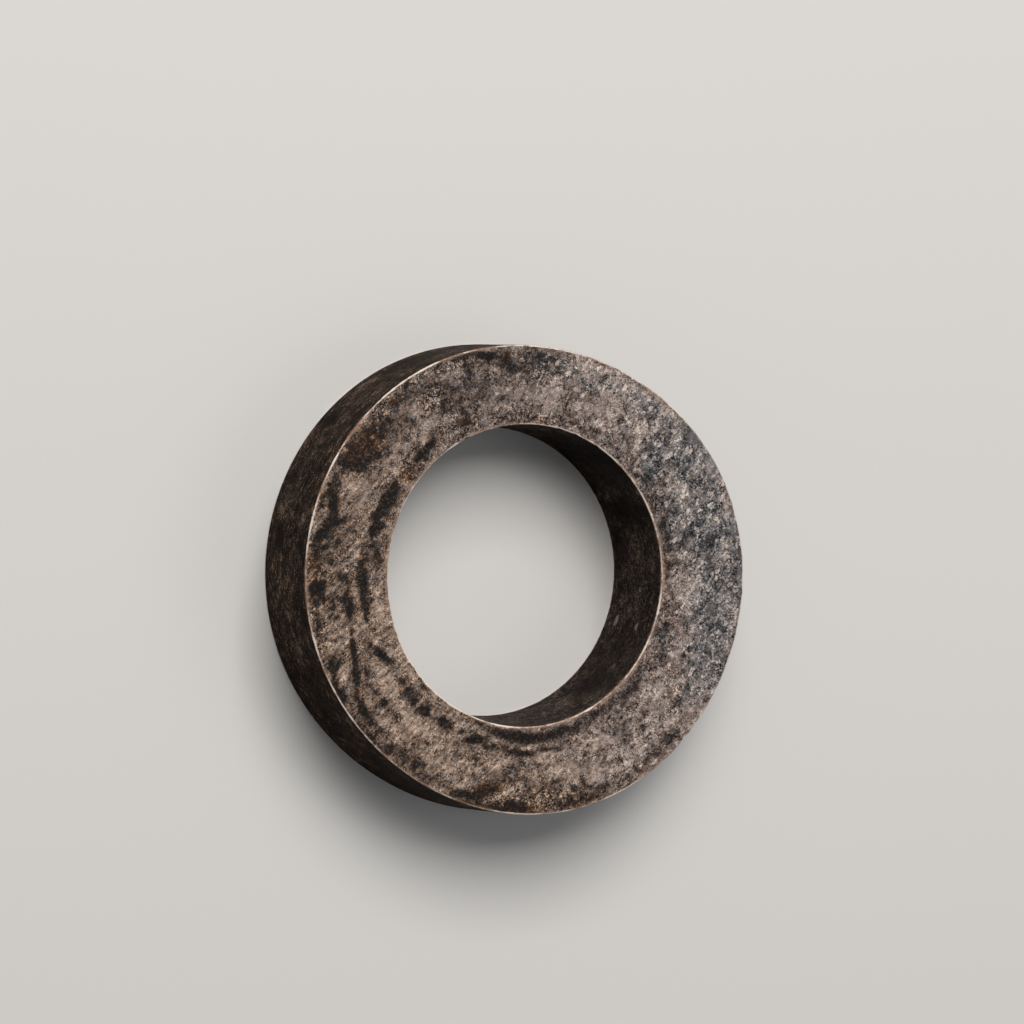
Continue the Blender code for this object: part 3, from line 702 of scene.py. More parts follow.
UPPER_RIGHT_MARKS = (
    dark(16.4, 38.5, 1.3, 1.0, 0.51, 20), dark(13.8, 40.3, 1.2, 0.5, 0.3),
    dark(1.2, 44.0, 1.6, 1.5, 0.38, 20), dark(5.4, 46.0, 3.6, 1.1, 0.47, -8),
    dark(2.4, 36.0, 2.4, 0.8, 0.3, -10), dark(5.6, 36.2, 1.3, 1.2, 0.38),
    dark(27.2, 26.6, 0.8, 1.4, 0.38), dark(27.8, 20.6, 1.1, 2.0, 0.51, -8),
    dark(31.2, 10.8, 0.9, 2.2, 0.59, -10), dark(22.2, 31.9, 1.2, 1.0, 0.34),
    dark(42.4, 7.2, 2.0, 1.0, 0.35, 20), dark(41.4, 3.0, 1.4, 0.9, 0.42, 60),
    dark(33.4, 12.8, 1.4, 0.9, 0.47), dark(25.4, 20.6, 0.7, 0.5, 0.68), dark(32.0, 4.6, 1.2, 3.2, 0.51),
    dark(9.6, 37.4, 1.2, 1.3, 0.34), dark(20.6, 26.6, 1.8, 0.8, 0.42, -42),
    dark(38.6, 12.2, 1.2, 0.9, 0.34), dark(31.0, 24.5, 1.1, 1.3, 0.3), dark(42.0, 0.6, 1.7, 1.0, 0.34),
    dark(15.2, 37.2, 1.2, 0.9, 0.3), dark(28.6, 32.6, 1.1, 0.9, 0.34), dark(42.4, 18.6, 0.9, 1.0, 0.34),
    dark(31.4, 18.4, 0.9, 1.0, 0.3), dark(7.0, 42.4, 1.0, 1.8, 0.15), dark(11.0, 36.4, 1.5, 1.1, 0.15),
    dark(11.6, 32.2, 1.2, 0.7, 0.3), dark(24.2, 28.0, 1.6, 1.2, 0.45), dark(22.0, 33.0, 1.0, 1.0, 0.3),
    dark(33.6, 30.0, 1.2, 1.2, 0.15), dark(37.0, 21.4, 1.0, 1.0, 0.4), dark(45.0, 12.0, 1.1, 1.6, 0.2),
    dark(35.4, 5.0, 1.2, 1.0, 0.4), dark(16.4, 30.4, 1.8, 1.1, 0.4, -30), dark(22.4, 31.8, 1.4, 1.0, 0.3),
    dark(30.0, 33.2, 1.4, 1.2, 0.35), dark(26.6, 27.0, 1.4, 1.0, 0.12), dark(33.4, 28.6, 1.2, 1.2, 0.35),
    dark(32.0, 19.4, 1.6, 1.2, 0.35), dark(22.6, 35.8, 1.6, 1.2, 0.3), dark(26.2, 37.0, 1.2, 1.2, 0.3),
    dark(31.4, 9.6, 1.0, 1.6, 0.35), dark(36.0, 7.2, 1.2, 1.0, 0.35), dark(9.0, 43.2, 1.4, 1.0, 0.1),
    dark(9.6, 32.8, 1.6, 0.8, 0.3), dark(34.4, 22.0, 1.2, 1.0, 0.3), dark(32.0, 7.6, 1.2, 1.0, 0.3),
    dark(45.2, 7.4, 0.9, 1.0, 0.3), dark(37.4, 8.0, 1.0, 1.0, 0.35), dark(29.6, 25.4, 1.2, 1.0, 0.25),
    dark(24.8, 24.2, 1.4, 0.9, 0.12, 40), dark(11.2, 36.6, 1.4, 1.0, 0.35),
    dark(7.4, 44.2, 1.0, 0.9, 0.25), dark(44.8, 11.8, 0.9, 1.2, 0.3), dark(38.4, 17.4, 1.1, 1.0, 0.3),
    dark(38.3, 20.8, 1.1, 1.0, 0.25), dark(45.9, 3.8, 0.8, 1.2, 0.3), dark(28.8, 26.2, 1.1, 0.9, 0.25),
    rust(31.6, 2.0, 0.9, 2.8, 0.7), rust(5.4, 32.7, 2.8, 0.5, 0.75, -12),
    rust(3.4, 47.6, 2.6, 0.6, 0.45, -4), rust(38.4, 19.6, 1.6, 1.0, 0.35),
    blue(37.2, 24.4, 8.6, 6.6, 0.85, -50), blue(41.2, 9.0, 6.6, 9.0, 0.85, 10),
    blue(28.6, 23.4, 2.2, 5.6, 0.8, -10), blue(32.6, 11.4, 3.4, 5.6, 0.5, 10),
    blue(6.6, 44.6, 5.4, 2.4, 0.55, -14), blue(17.0, 40.4, 5.4, 1.9, 0.45, -15),
    blue(23.6, 31.2, 3.2, 1.8, 0.42, 20), blue(28.6, 35.6, 5.6, 2.0, 0.4, -40),
    blue(26.5, 36.0, 8.0, 2.4, 0.45, -38), blue(17.0, 40.5, 5.0, 3.0, 0.25, -20),
    blue(47.8, 7.0, 1.4, 6.0, 0.6, 12), blue(41.5, 24.5, 1.6, 6.0, 0.4, 35),
    pale(32.8, 18.8, 1.8, 1.7, 0.65), pale(36.4, 17.4, 1.9, 1.5, 0.65), pale(27.4, 30.6, 1.5, 1.7, 0.5),
    pale(25.4, 28.8, 1.9, 1.5, 0.65), pale(19.0, 39.2, 3.0, 1.3, 0.7, 25), pale(5.4, 37.6, 5.4, 2.6, 0.6),
    pale(17.4, 34.4, 4.6, 2.8, 0.6, -20), pale(11.4, 37.0, 2.4, 1.8, 0.1, 30),
    pale(23.6, 37.4, 3.0, 1.7, 0.6, -20), pale(7.0, 41.6, 3.0, 0.9, 0.5),
    pale(14.2, 43.2, 3.0, 1.3, 0.45, -15), pale(22.6, 27.0, 3.4, 1.3, 0.45, 20),
    pale(31.6, 35.4, 1.2, 2.2, 0.5, 25), pale(45.6, 4.2, 2.2, 1.2, 0.6, 40),
    pale(40.6, 14.6, 2.6, 2.0, 0.4), pale(39.4, 23.2, 2.2, 1.4, 0.4, 40), pale(44.2, 19.0, 0.9, 0.8, 0.8),
    pale(34.0, 27.6, 0.9, 0.6, 0.8), pale(24.6, 23.0, 1.6, 2.0, 0.4), pale(46.2, 16.4, 0.7, 2.0, 0.5, 15),
    pale(13.2, 41.3, 2.2, 1.4, 0.65), pale(8.2, 43.8, 1.6, 1.2, 0.45),
    pale(19.6, 31.6, 2.4, 1.8, 0.7, -30), pale(25.0, 32.4, 1.8, 1.6, 0.55),
    pale(33.2, 32.2, 2.2, 1.4, 0.6, -45), pale(33.9, 25.9, 1.5, 1.3, 0.7),
    pale(29.6, 27.0, 1.5, 1.3, 0.5), pale(28.0, 22.6, 1.2, 1.5, 0.5), pale(38.2, 22.2, 2.0, 1.7, 0.75),
    pale(42.6, 21.4, 1.2, 2.4, 0.75, 28), pale(44.8, 13.0, 1.2, 2.6, 0.7, 15),
    pale(21.4, 39.2, 4.6, 2.4, 0.45, -25), pale(27.4, 37.2, 4.2, 2.2, 0.6, -38),
    pale(20.6, 35.2, 2.6, 1.8, 0.4), pale(34.6, 9.0, 2.2, 2.2, 0.6), pale(36.0, 3.6, 2.2, 1.8, 0.55),
    pale(43.2, 3.8, 1.6, 1.4, 0.6), pale(40.6, 9.4, 2.0, 1.6, 0.45), pale(34.4, 21.4, 1.2, 1.1, 0.35),
    pale(15.6, 44.4, 2.6, 1.0, 0.4, -20), pale(9.2, 41.0, 1.0, 1.8, 0.3), pale(30.0, 29.8, 1.7, 1.3, 0.6),
    pale(26.5, 25.4, 1.1, 1.5, 0.6), pale(41.7, 23.9, 0.9, 2.0, 0.7, 30),
    pale(45.0, 15.4, 0.9, 2.4, 0.7, 18), pale(38.4, 5.0, 1.5, 1.7, 0.65),
    pale(35.2, 28.4, 1.6, 1.0, 0.55, -40), pale(13.0, 35.6, 1.5, 1.0, 0.4),
    pale(41.2, 10.2, 1.2, 1.1, 0.45), pale(33.0, 6.0, 0.9, 1.4, 0.3),
    pale(18.4, 43.0, 2.2, 0.9, 0.45, -25), pale(5.6, 45.0, 1.2, 0.8, 0.3),
    pale(10.6, 44.2, 1.2, 1.0, 0.5), pale(15.8, 41.8, 2.0, 1.6, 0.7), pale(8.2, 38.6, 1.3, 1.1, 0.4),
    pale(17.6, 30.2, 1.6, 1.0, 0.45, 30), pale(21.0, 30.4, 1.6, 1.2, 0.45),
    pale(28.4, 21.6, 1.4, 1.8, 0.75), pale(32.5, 25.6, 1.7, 1.4, 0.7), pale(31.0, 32.0, 1.4, 1.2, 0.4),
    pale(41.4, 24.6, 1.2, 2.0, 0.6, 35), pale(34.8, 17.4, 1.6, 1.4, 0.6), pale(31.2, 13.0, 0.9, 1.8, 0.5),
    pale(42.6, 15.0, 1.4, 1.8, 0.7), pale(42.0, 9.0, 1.3, 2.0, 0.7), pale(37.0, 12.0, 1.4, 1.2, 0.4),
    pale(32.0, 5.0, 0.9, 1.6, 0.5), pale(25.6, 36.0, 1.4, 1.6, 0.4), pale(37.4, 25.0, 1.2, 1.2, 0.35),
    pale(12.8, 41.2, 1.8, 1.2, 0.6, -15), pale(16.2, 39.8, 1.4, 1.4, 0.4), pale(5.0, 41.8, 1.0, 1.2, 0.3),
    pale(12.2, 35.8, 1.4, 1.0, 0.35), pale(25.6, 31.0, 1.6, 1.2, 0.4), pale(28.6, 22.4, 1.2, 1.2, 0.35),
    pale(36.0, 23.6, 1.4, 1.0, 0.4), pale(41.4, 24.4, 1.2, 2.0, 0.5, 35),
    pale(37.8, 19.2, 1.4, 1.4, 0.15), pale(36.0, 13.6, 1.2, 1.4, 0.4), pale(43.0, 14.0, 1.2, 1.8, 0.6),
    pale(42.4, 9.6, 1.4, 1.6, 0.6), pale(44.6, 4.8, 1.2, 2.0, 0.45), pale(32.8, 33.4, 1.2, 1.2, 0.35),
    pale(26.4, 34.8, 1.3, 1.2, 0.5), pale(21.6, 33.4, 1.0, 1.0, 0.3),
    pale(14.4, 31.2, 1.4, 0.9, 0.4, -25), pale(25.4, 28.2, 1.2, 1.0, 0.35),
    pale(34.4, 14.6, 1.1, 1.4, 0.35), pale(32.6, 30.0, 1.2, 1.2, 0.3), pale(9.0, 43.2, 1.2, 1.2, 0.3),
    pale(41.6, 24.0, 1.2, 1.6, 0.35, 35), pale(20.2, 39.8, 1.2, 1.0, 0.3),
    pale(41.7, 23.8, 1.0, 1.4, 0.45, 35), pale(25.2, 25.8, 1.2, 1.0, 0.4),
    pale(43.9, 14.4, 1.0, 1.2, 0.4), pale(12.9, 41.7, 1.2, 1.0, 0.35), pale(32.8, 24.6, 1.1, 1.0, 0.4),
    pale(27.2, 35.8, 1.2, 1.0, 0.35), pale(22.0, 34.0, 1.0, 1.0, 0.3), pale(32.8, 16.2, 1.0, 1.2, 0.35),
    pale(37.9, 11.2, 1.1, 1.0, 0.35), pale(37.9, 23.0, 1.0, 1.0, 0.3), pale(16.2, 30.3, 1.2, 0.8, 0.3),
    pale(45.9, 1.6, 0.8, 1.2, 0.35),
    calm(38.6, 27.8, 1.9, 1.3, 0.9, -40), calm(42.6, 22.0, 1.3, 2.4, 0.8, 30),
    calm(46.5, 12.8, 1.0, 2.4, 1.0, 12), calm(47.6, 7.6, 0.9, 2.0, 0.9, 8),
    calm(35.4, 32.2, 1.0, 0.7, 0.6, -40), calm(43.8, 9.8, 1.2, 0.9, 0.4), calm(3.6, 37.0, 4.0, 2.6, 0.8),
    calm(10.4, 38.6, 4.0, 2.6, 0.7, -20), calm(17.4, 35.6, 3.6, 2.0, 0.6, -30),
    rubble(5.5, 44.0, 4.5, 2.6, 0.6, -5), rubble(3.0, 33.0, 7.0, 1.2, 0.8, -6),
)

FACE_MARKS = UPPER_LEFT_MARKS + LOWER_LEFT_MARKS + LOWER_RIGHT_MARKS + UPPER_RIGHT_MARKS

FACE_CRACKS = (
    Crack((8.6, -40.4), (12.4, -37.8)),
    Crack((12.4, -37.8), (17.2, -36.0)),
    Crack((19.6, -34.6), (24.6, -31.9)),
    Crack((24.6, -31.9), (29.6, -31.0), 0.5),
    Crack((-37.8, -18.9), (-33.4, -18.3), 0.6),
    Crack((-33.4, -18.3), (-28.6, -15.6)),
    Crack((-28.6, -15.6), (-26.6, -14.9), 0.7),
    Crack((-44.2, -9.0), (-40.8, -6.8), 0.6),
    Crack((9.6, 33.6), (13.0, 37.8), 0.6),
    Crack((23.2, 21.4), (25.6, 24.2)),
    Crack((30.8, -22.8), (32.6, -20.6), 0.5),
)

# Each makes marks of one mineral on one wall
bore_pale, bore_dark, outer_dark, outer_pale = (
    partial(WallMark, wall, mineral) for wall, mineral in (
        (Wall.BORE, Mineral.PALE), (Wall.BORE, Mineral.DARK),
        (Wall.OUTER, Mineral.DARK), (Wall.OUTER, Mineral.PALE),
    )
)

WALL_MARKS = (
    bore_pale(-22.3, 15.3, 0.8, 0.5, 0.8), bore_pale(-20.5, 5.3, 1.2, 0.5, 0.8),
    bore_pale(-40.9, 14.4, 0.6, 0.5, 0.6), bore_pale(-7.3, 13.2, 0.6, 0.5, 0.6),
    bore_pale(33.2, 21.5, 0.6, 0.5, 0.7), bore_pale(31.7, 6.3, 1.0, 0.9, 0.3),
    bore_pale(-47.7, 22.0, 0.6, 0.5, 0.6),
    bore_dark(26.0, 11.0, 2.6, 9.0, 0.7), bore_dark(52.0, 12.0, 9.0, 14.0, 0.7),
    bore_dark(-52.0, 11.0, 3.0, 3.0, 0.6), bore_dark(-26.0, 10.5, 3.5, 1.4, 0.5),
    bore_dark(10.0, 4.0, 4.0, 3.0, 0.4), bore_dark(-42.0, 12.0, 8.0, 14.0, 0.45),
    outer_dark(136.0, 6.5, 1.6, 3.0, 0.7), outer_dark(135.0, 19.5, 2.0, 2.0, 0.6),
    outer_dark(112.0, 9.0, 5.0, 6.0, 0.35), outer_dark(168.0, 7.5, 2.2, 2.5, 0.5),
    outer_dark(187.0, 20.5, 3.0, 2.0, 0.55), outer_dark(212.0, 12.0, 8.0, 5.0, 0.45),
    outer_dark(238.0, 12.0, 9.0, 12.0, 0.5),
    outer_pale(163.0, 18.0, 1.4, 1.4, 0.3), outer_pale(181.0, 13.0, 4.0, 3.0, 0.16),
    outer_pale(196.0, 12.0, 2.4, 3.0, 0.2), outer_pale(124.0, 5.0, 3.5, 2.0, 0.2),
    outer_pale(160.0, 5.0, 4.0, 3.0, 0.15),
)


# How much of a chip's depth goes each way, where it cuts both into the stone and down
CHIP_SHARE = 0.7


@dataclass(frozen=True)
class Chip:
    """A small bite out of an upper edge: its place in plan, radius and depth in millimetres."""

    x: float
    y: float
    radius: float
    depth: float

    def bite(self, points: np.ndarray, height: float) -> np.ndarray:
        """Works out how far each point is moved.

        Args:
            points: rows of x, y and z in millimetres.
            height: the upper face's height.

        Returns:
            Each point's move into the stone and down, in millimetres.
        """
        plan = points[:, :2] - (self.x, self.y)
        distance = np.sqrt((plan ** 2).sum(axis=1) + (points[:, 2] - height) ** 2)
        fade = eased(np.clip(1.0 - distance / self.radius, 0.0, 1.0))
        reach = np.hypot(self.x, self.y)
        inward = np.array((self.x, self.y)) / reach * math.copysign(1.0, MIDDLE_RADIUS - reach)
        return (fade * self.depth)[:, None] * np.array((*inward, -1.0)) * CHIP_SHARE


EDGE_CHIPS = (
    Chip(-12.5, 29.9, 1.2, 0.50), Chip(8.6, 31.2, 0.8, 0.30), Chip(12.3, 30.0, 1.0, 0.35),
    Chip(16.6, 27.0, 0.9, 0.40), Chip(24.6, 20.4, 1.1, 0.45), Chip(27.9, 14.6, 0.6, 0.25),
    Chip(28.6, 12.6, 0.6, 0.25), Chip(29.3, 10.4, 0.6, 0.25), Chip(30.6, -0.6, 0.9, 0.30),
    Chip(34.6, -34.4, 1.3, 0.40), Chip(26.0, -41.4, 1.1, 0.40), Chip(41.8, -25.2, 1.0, 0.30),
)


@dataclass(frozen=True)
class Lobe:
    """One swell of a hand-ground outline: its number of lobes, height and direction."""

    count: int
    amount: float
    direction: float


@dataclass
class RingBlank:
    """The ring's form: a swept section, ground by hand to uneven outlines, with worn edges."""

    outer_diameter: float = 98.0 * MM
    bore_diameter: float = 62.2 * MM
    height: float = 23.0 * MM
    wall_flare: float = 0.4 * MM
    bore_taper: float = 0.9 * MM
    outer_arris: float = 0.45 * MM
    bore_arris: float = 0.35 * MM
    bore_offset_upper: tuple[float, float] = (-0.4 * MM, 0.7 * MM)
    bore_offset_lower: tuple[float, float] = (-0.5 * MM, 1.1 * MM)
    outline_lobes: tuple[Lobe, ...] = (
        Lobe(2, 0.58 * MM, 146), Lobe(3, 0.26 * MM, 29), Lobe(4, 0.20 * MM, 16),
    )
    bore_lobes: tuple[Lobe, ...] = (Lobe(2, 0.30 * MM, 88),)
    steps_around: int = 640
    spacing: float = 0.66 * MM
    arris_steps: int = 5
    waviness: float = 0.045 * MM
    grain_relief: float = 0.02 * MM
    nick_depth: float = 0.05 * MM
    nick_span: tuple[float, float] = (0.50, 0.68)
    wear_full: float = 0.10 * MM
    wear_end: float = 0.62 * MM
    waves_per_metre: float = 170.0
    grains_per_metre: float = 900.0
    seed: float = 7.0

    def sizes(self) -> dict[str, float]:
        """Returns the tree's named inputs with this ring's values."""
        return {
            "Outer Radius": self.outer_diameter / 2,
            "Bore Radius": self.bore_diameter / 2,
            "Height": self.height,
            "Wall Flare": self.wall_flare,
            "Bore Taper": self.bore_taper,
            "Outer Arris": self.outer_arris,
            "Bore Arris": self.bore_arris,
            "Spacing": self.spacing,
            "Waviness": self.waviness,
            "Grain Relief": self.grain_relief,
            "Nick Depth": self.nick_depth,
            "Seed": self.seed,
        }

    def section(self, wires: Wiring, size: Sockets) -> Socket:
        """Draws the ring's section: a rectangle with small rounds, with points at an even spacing."""
        wall = wires.less(size["Outer Radius"], size["Bore Radius"])
        box = wires.add(
            "GeometryNodeCurvePrimitiveQuadrilateral",
            {"Width": wall, "Height": size["Height"]}, mode="RECTANGLE",
        )
        across = wires.split(wires.add("GeometryNodeInputPosition").outputs[0])[0]
        outside = wires.math("GREATER_THAN", across, 0.0)
        arris = wires.total(
            wires.times(outside, size["Outer Arris"]),
            wires.times(wires.less(1.0, outside), size["Bore Arris"]),
        )
        rounded = wires.add(
            "GeometryNodeFilletCurve",
            {"Curve": box.outputs[0], "Radius": arris, "Count": self.arris_steps}, mode="POLY",
        )
        return self.subdivided(wires, rounded.outputs[0], size["Spacing"])

    def subdivided(self, wires: Wiring, curve: Socket, spacing: Socket) -> Socket:
        """Cuts the section's long sides at the spacing and leaves its short ones whole."""
        count = wires.add("GeometryNodeAttributeDomainSize", {"Geometry": curve}, component="CURVE")
        index = wires.add("GeometryNodeInputIndex").outputs[0]
        following = wires.math("MODULO", wires.total(index, 1.0), count.outputs["Point Count"])
        here = wires.add("GeometryNodeInputPosition").outputs[0]
        there = wires.add(
            "GeometryNodeFieldAtIndex", {"Value": here, "Index": following},
            data_type="FLOAT_VECTOR", domain="POINT",
        )
        length = wires.vector("DISTANCE", here, there.outputs[0])
        cuts = wires.math("FLOOR", wires.math("DIVIDE", length, spacing))
        return wires.add("GeometryNodeSubdivideCurve", {"Curve": curve, "Cuts": cuts}).outputs[0]

    def swell(self, wires: Wiring, lobes: Sequence[Lobe], angle: Socket) -> Socket:
        """Returns how far an outline stands outside its mean circle at an angle."""
        terms = []
        for lobe in lobes:
            phase = wires.line(angle, float(lobe.count), -lobe.count * math.radians(lobe.direction))
            terms.append(wires.times(wires.math("COSINE", phase), lobe.amount))
        return wires.total(*terms)

    def ground_place(self, wires: Wiring, size: Sockets, place: Socket) -> Socket:
        """Moves a point of the true ring to its place on the hand-ground one."""
        x, y, z = wires.split(place)
        angle = wires.math("ARCTAN2", y, x)
        radius = wires.radius(x, y)
        wall = wires.less(size["Outer Radius"], size["Bore Radius"])
        outward = wires.math("DIVIDE", wires.less(radius, size["Bore Radius"]), wall, clamp=True)
        inward = wires.less(1.0, outward)
        rise = wires.math("DIVIDE", z, size["Height"])
        drop = wires.less(1.0, rise)
        outer = wires.total(
            self.swell(wires, self.outline_lobes, angle), wires.times(size["Wall Flare"], drop),
        )
        bore = wires.less(
            self.swell(wires, self.bore_lobes, angle), wires.times(size["Bore Taper"], drop),
        )
        reach = wires.total(radius, wires.times(outer, outward), wires.times(bore, inward))
        moved = []
        for axis, turn in enumerate(("COSINE", "SINE")):
            upper = wires.times(rise, self.bore_offset_upper[axis])
            lower = wires.times(drop, self.bore_offset_lower[axis])
            shift = wires.times(wires.total(upper, lower), inward)
            moved.append(wires.total(wires.times(reach, wires.math(turn, angle)), shift))
        return wires.add("ShaderNodeCombineXYZ", {"X": moved[0], "Y": moved[1], "Z": z}).outputs[0]

    def edge_wear(self, wires: Wiring, size: Sockets, place: Socket) -> Socket:
        """Returns 1 on the four edges of the true ring and 0 a little way from them."""
        x, y, z = wires.split(place)
        radius = wires.radius(x, y)
        to_wall = wires.math(
            "MINIMUM", wires.less(size["Outer Radius"], radius), wires.less(radius, size["Bore Radius"]),
        )
        to_face = wires.math("MINIMUM", z, wires.less(size["Height"], z))
        return wires.step(wires.math("MAXIMUM", to_wall, to_face), self.wear_end, self.wear_full)

    def relief(self, wires: Wiring, size: Sockets, wear: Socket) -> Socket:
        """Returns the small offset of each point: slow waves, grain and nicks on the edges."""
        here = wires.add("GeometryNodeInputPosition").outputs[0]
        seeded = wires.vector("ADD", here, size["Seed"])
        waves = wires.swing(wires.noise(seeded, self.waves_per_metre), size["Waviness"])
        grain = wires.swing(wires.noise(seeded, self.grains_per_metre), size["Grain Relief"])
        bite = wires.step(wires.noise(seeded, self.grains_per_metre, 1.5), *self.nick_span)
        nicks = wires.times(bite, wear, size["Nick Depth"])
        normal = wires.add("GeometryNodeInputNormal").outputs[0]
        return wires.vector("SCALE", normal, scale=wires.less(wires.total(waves, grain), nicks))

    def fill_tree(self, wires: Wiring, size: Sockets) -> Sockets:
        """Adds the whole tree: the section, the sweep, the grinding and the relief."""
        middle = wires.times(wires.total(size["Outer Radius"], size["Bore Radius"]), 0.5)
        path = wires.add(
            "GeometryNodeCurvePrimitiveCircle",
            {"Radius": middle, "Resolution": self.steps_around}, mode="RADIUS",
        )
        upright = wires.add("GeometryNodeSetCurveNormal", {"Curve": path.outputs["Curve"]}, mode="Z_UP")
        swept = wires.add(
            "GeometryNodeCurveToMesh",
            {"Curve": upright.outputs[0], "Profile Curve": self.section(wires, size)},
        )
        raise_by = wires.add("ShaderNodeCombineXYZ", {"Z": wires.times(size["Height"], 0.5)})
        lifted = wires.add(
            "GeometryNodeSetPosition", {"Geometry": swept.outputs[0], "Offset": raise_by.outputs[0]},
        )
        true_place = wires.add("GeometryNodeInputPosition").outputs[0]
        marked = wires.add(
            "GeometryNodeStoreNamedAttribute",
            {
                "Geometry": lifted.outputs[0], "Name": "edge_wear",
                "Value": self.edge_wear(wires, size, true_place),
            },
            data_type="FLOAT", domain="POINT",
        )
        ground = wires.add(
            "GeometryNodeSetPosition",
            {"Geometry": marked.outputs[0], "Position": self.ground_place(wires, size, true_place)},
        )
        wear = wires.add("GeometryNodeInputNamedAttribute", {"Name": "edge_wear"}, data_type="FLOAT")
        worn = wires.add(
            "GeometryNodeSetPosition",
            {"Geometry": ground.outputs[0], "Offset": self.relief(wires, size, wear.outputs[0])},
        )
        smooth = wires.add("GeometryNodeSetShadeSmooth", {"Geometry": worn.outputs[0]})
        real = wires.add("GeometryNodeRealizeInstances", {"Geometry": smooth.outputs[0]})
        finished = wires.add("GeometryNodeSetMaterial", {"Geometry": real.outputs[0]})
        return {"Mesh": finished.outputs[0]}

    def build(self, material: bpy.types.Material) -> bpy.types.Object:
        """Builds the ring as a plain mesh.

        Args:
            material: the stone of its faces.

        Returns:
            The ring's object, at the origin.
        """
        tree = node_group(
            "hand_ground_ring", "GeometryNodeTree",
            {name: FLOAT for name in self.sizes()}, {"Mesh": "NodeSocketGeometry"}, self.fill_tree,
        )
        for node in tree.nodes:
            if node.bl_idname == "GeometryNodeSetMaterial":
                node.inputs["Material"].default_value = material
        maker = new_object("ring_maker", bpy.data.meshes.new("ring_seed"))
        modifier = maker.modifiers.new("ring", "NODES")
        modifier.node_group = tree
        for item in tree.interface.items_tree:
            if item.in_out == "INPUT":
                modifier[item.identifier] = self.sizes()[item.name]
        evaluated = maker.evaluated_get(bpy.context.evaluated_depsgraph_get())
        mesh = bpy.data.meshes.new_from_object(evaluated)
        bpy.data.objects.remove(maker, do_unlink=True)
        mesh.name = "jade_ring_stone"
        self.centre(mesh)
        return new_object("jade_ring_stone", mesh)

    def centre(self, mesh: bpy.types.Mesh) -> None:
        """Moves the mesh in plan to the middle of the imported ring's box."""
        points = read_points(mesh)
        low, high = (np.array(corner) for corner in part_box(NODE))
        shift = (low + high) / 2 - (points.min(axis=0) + points.max(axis=0)) / 2
        mesh.transform(Matrix.Translation((float(shift[0]), float(shift[1]), 0.0)))


def read_points(mesh: bpy.types.Mesh) -> np.ndarray:
    """Returns a mesh's points as rows of x, y and z."""
    flat = np.empty(len(mesh.vertices) * 3, dtype=np.float32)
    mesh.vertices.foreach_get("co", flat)
    return flat.reshape(-1, 3)


def write_attribute(mesh: bpy.types.Mesh, name: str, values: np.ndarray) -> None:
    """Stores one number at each point of a mesh."""
    attribute = mesh.attributes.new(name, "FLOAT", "POINT")
    attribute.data.foreach_set("value", values.astype(np.float32))


@dataclass(frozen=True)
class StoneTones:
    """The stone's colours from its darkest mineral to its palest grain."""

    warm: Stops = stops(
        (0.00, 10, 8, 8), (0.12, 30, 25, 22), (0.30, 76, 62, 54), (0.50, 116, 101, 94),
        (0.70, 155, 139, 131), (0.85, 187, 170, 160), (1.00, 222, 205, 193),
    )
    brown: Stops = stops(
        (0.00, 10, 8, 6), (0.12, 32, 24, 18), (0.30, 80, 62, 50), (0.50, 121, 101, 87),
        (0.70, 161, 138, 121), (0.85, 193, 169, 150), (1.00, 228, 205, 184),
    )
    cool: Stops = stops(
        (0.00, 15, 16, 18), (0.20, 53, 56, 59), (0.40, 92, 92, 93),
        (0.60, 134, 128, 126), (0.80, 174, 162, 155), (1.00, 214, 200, 190),
    )
    rusty: Stops = stops(
        (0.00, 20, 12, 8), (0.20, 52, 33, 22), (0.45, 98, 68, 46), (0.70, 150, 112, 78),
        (1.00, 212, 174, 130),
    )
    # The two wall ramps hold painted shade as well as the walls' own darker stone, so that the walls stay
    # dim beside the pale floor
    dark_wall_with_shade: Stops = stops(
        (0.00, 8, 5, 4), (0.25, 24, 17, 12), (0.50, 45, 35, 28), (0.75, 72, 58, 49),
        (1.00, 140, 118, 102),
    )
    bore_wall_with_shade: Stops = stops(
        (0.00, 12, 10, 9), (0.25, 32, 26, 23), (0.50, 54, 46, 41), (0.75, 78, 68, 61),
        (1.00, 140, 122, 110),
    )
    # A plain lighter grey for the even spots of the blue-grey zone: partly smoother stone, partly painted
    # sheen
    smooth: Colour = srgb(112, 108, 110)
    gap: Colour = srgb(20, 16, 14)
    # The pale line on the edges: partly rubbed stone, partly a painted highlight along the rounded edges;
    # the cool one serves the blue-grey zone
    worn: Colour = srgb(232, 214, 200)
    worn_highlight_cool: Colour = srgb(190, 185, 189)
    worn_dull: Colour = srgb(158, 126, 106)
    dull_cool: Colour = srgb(138, 134, 138)


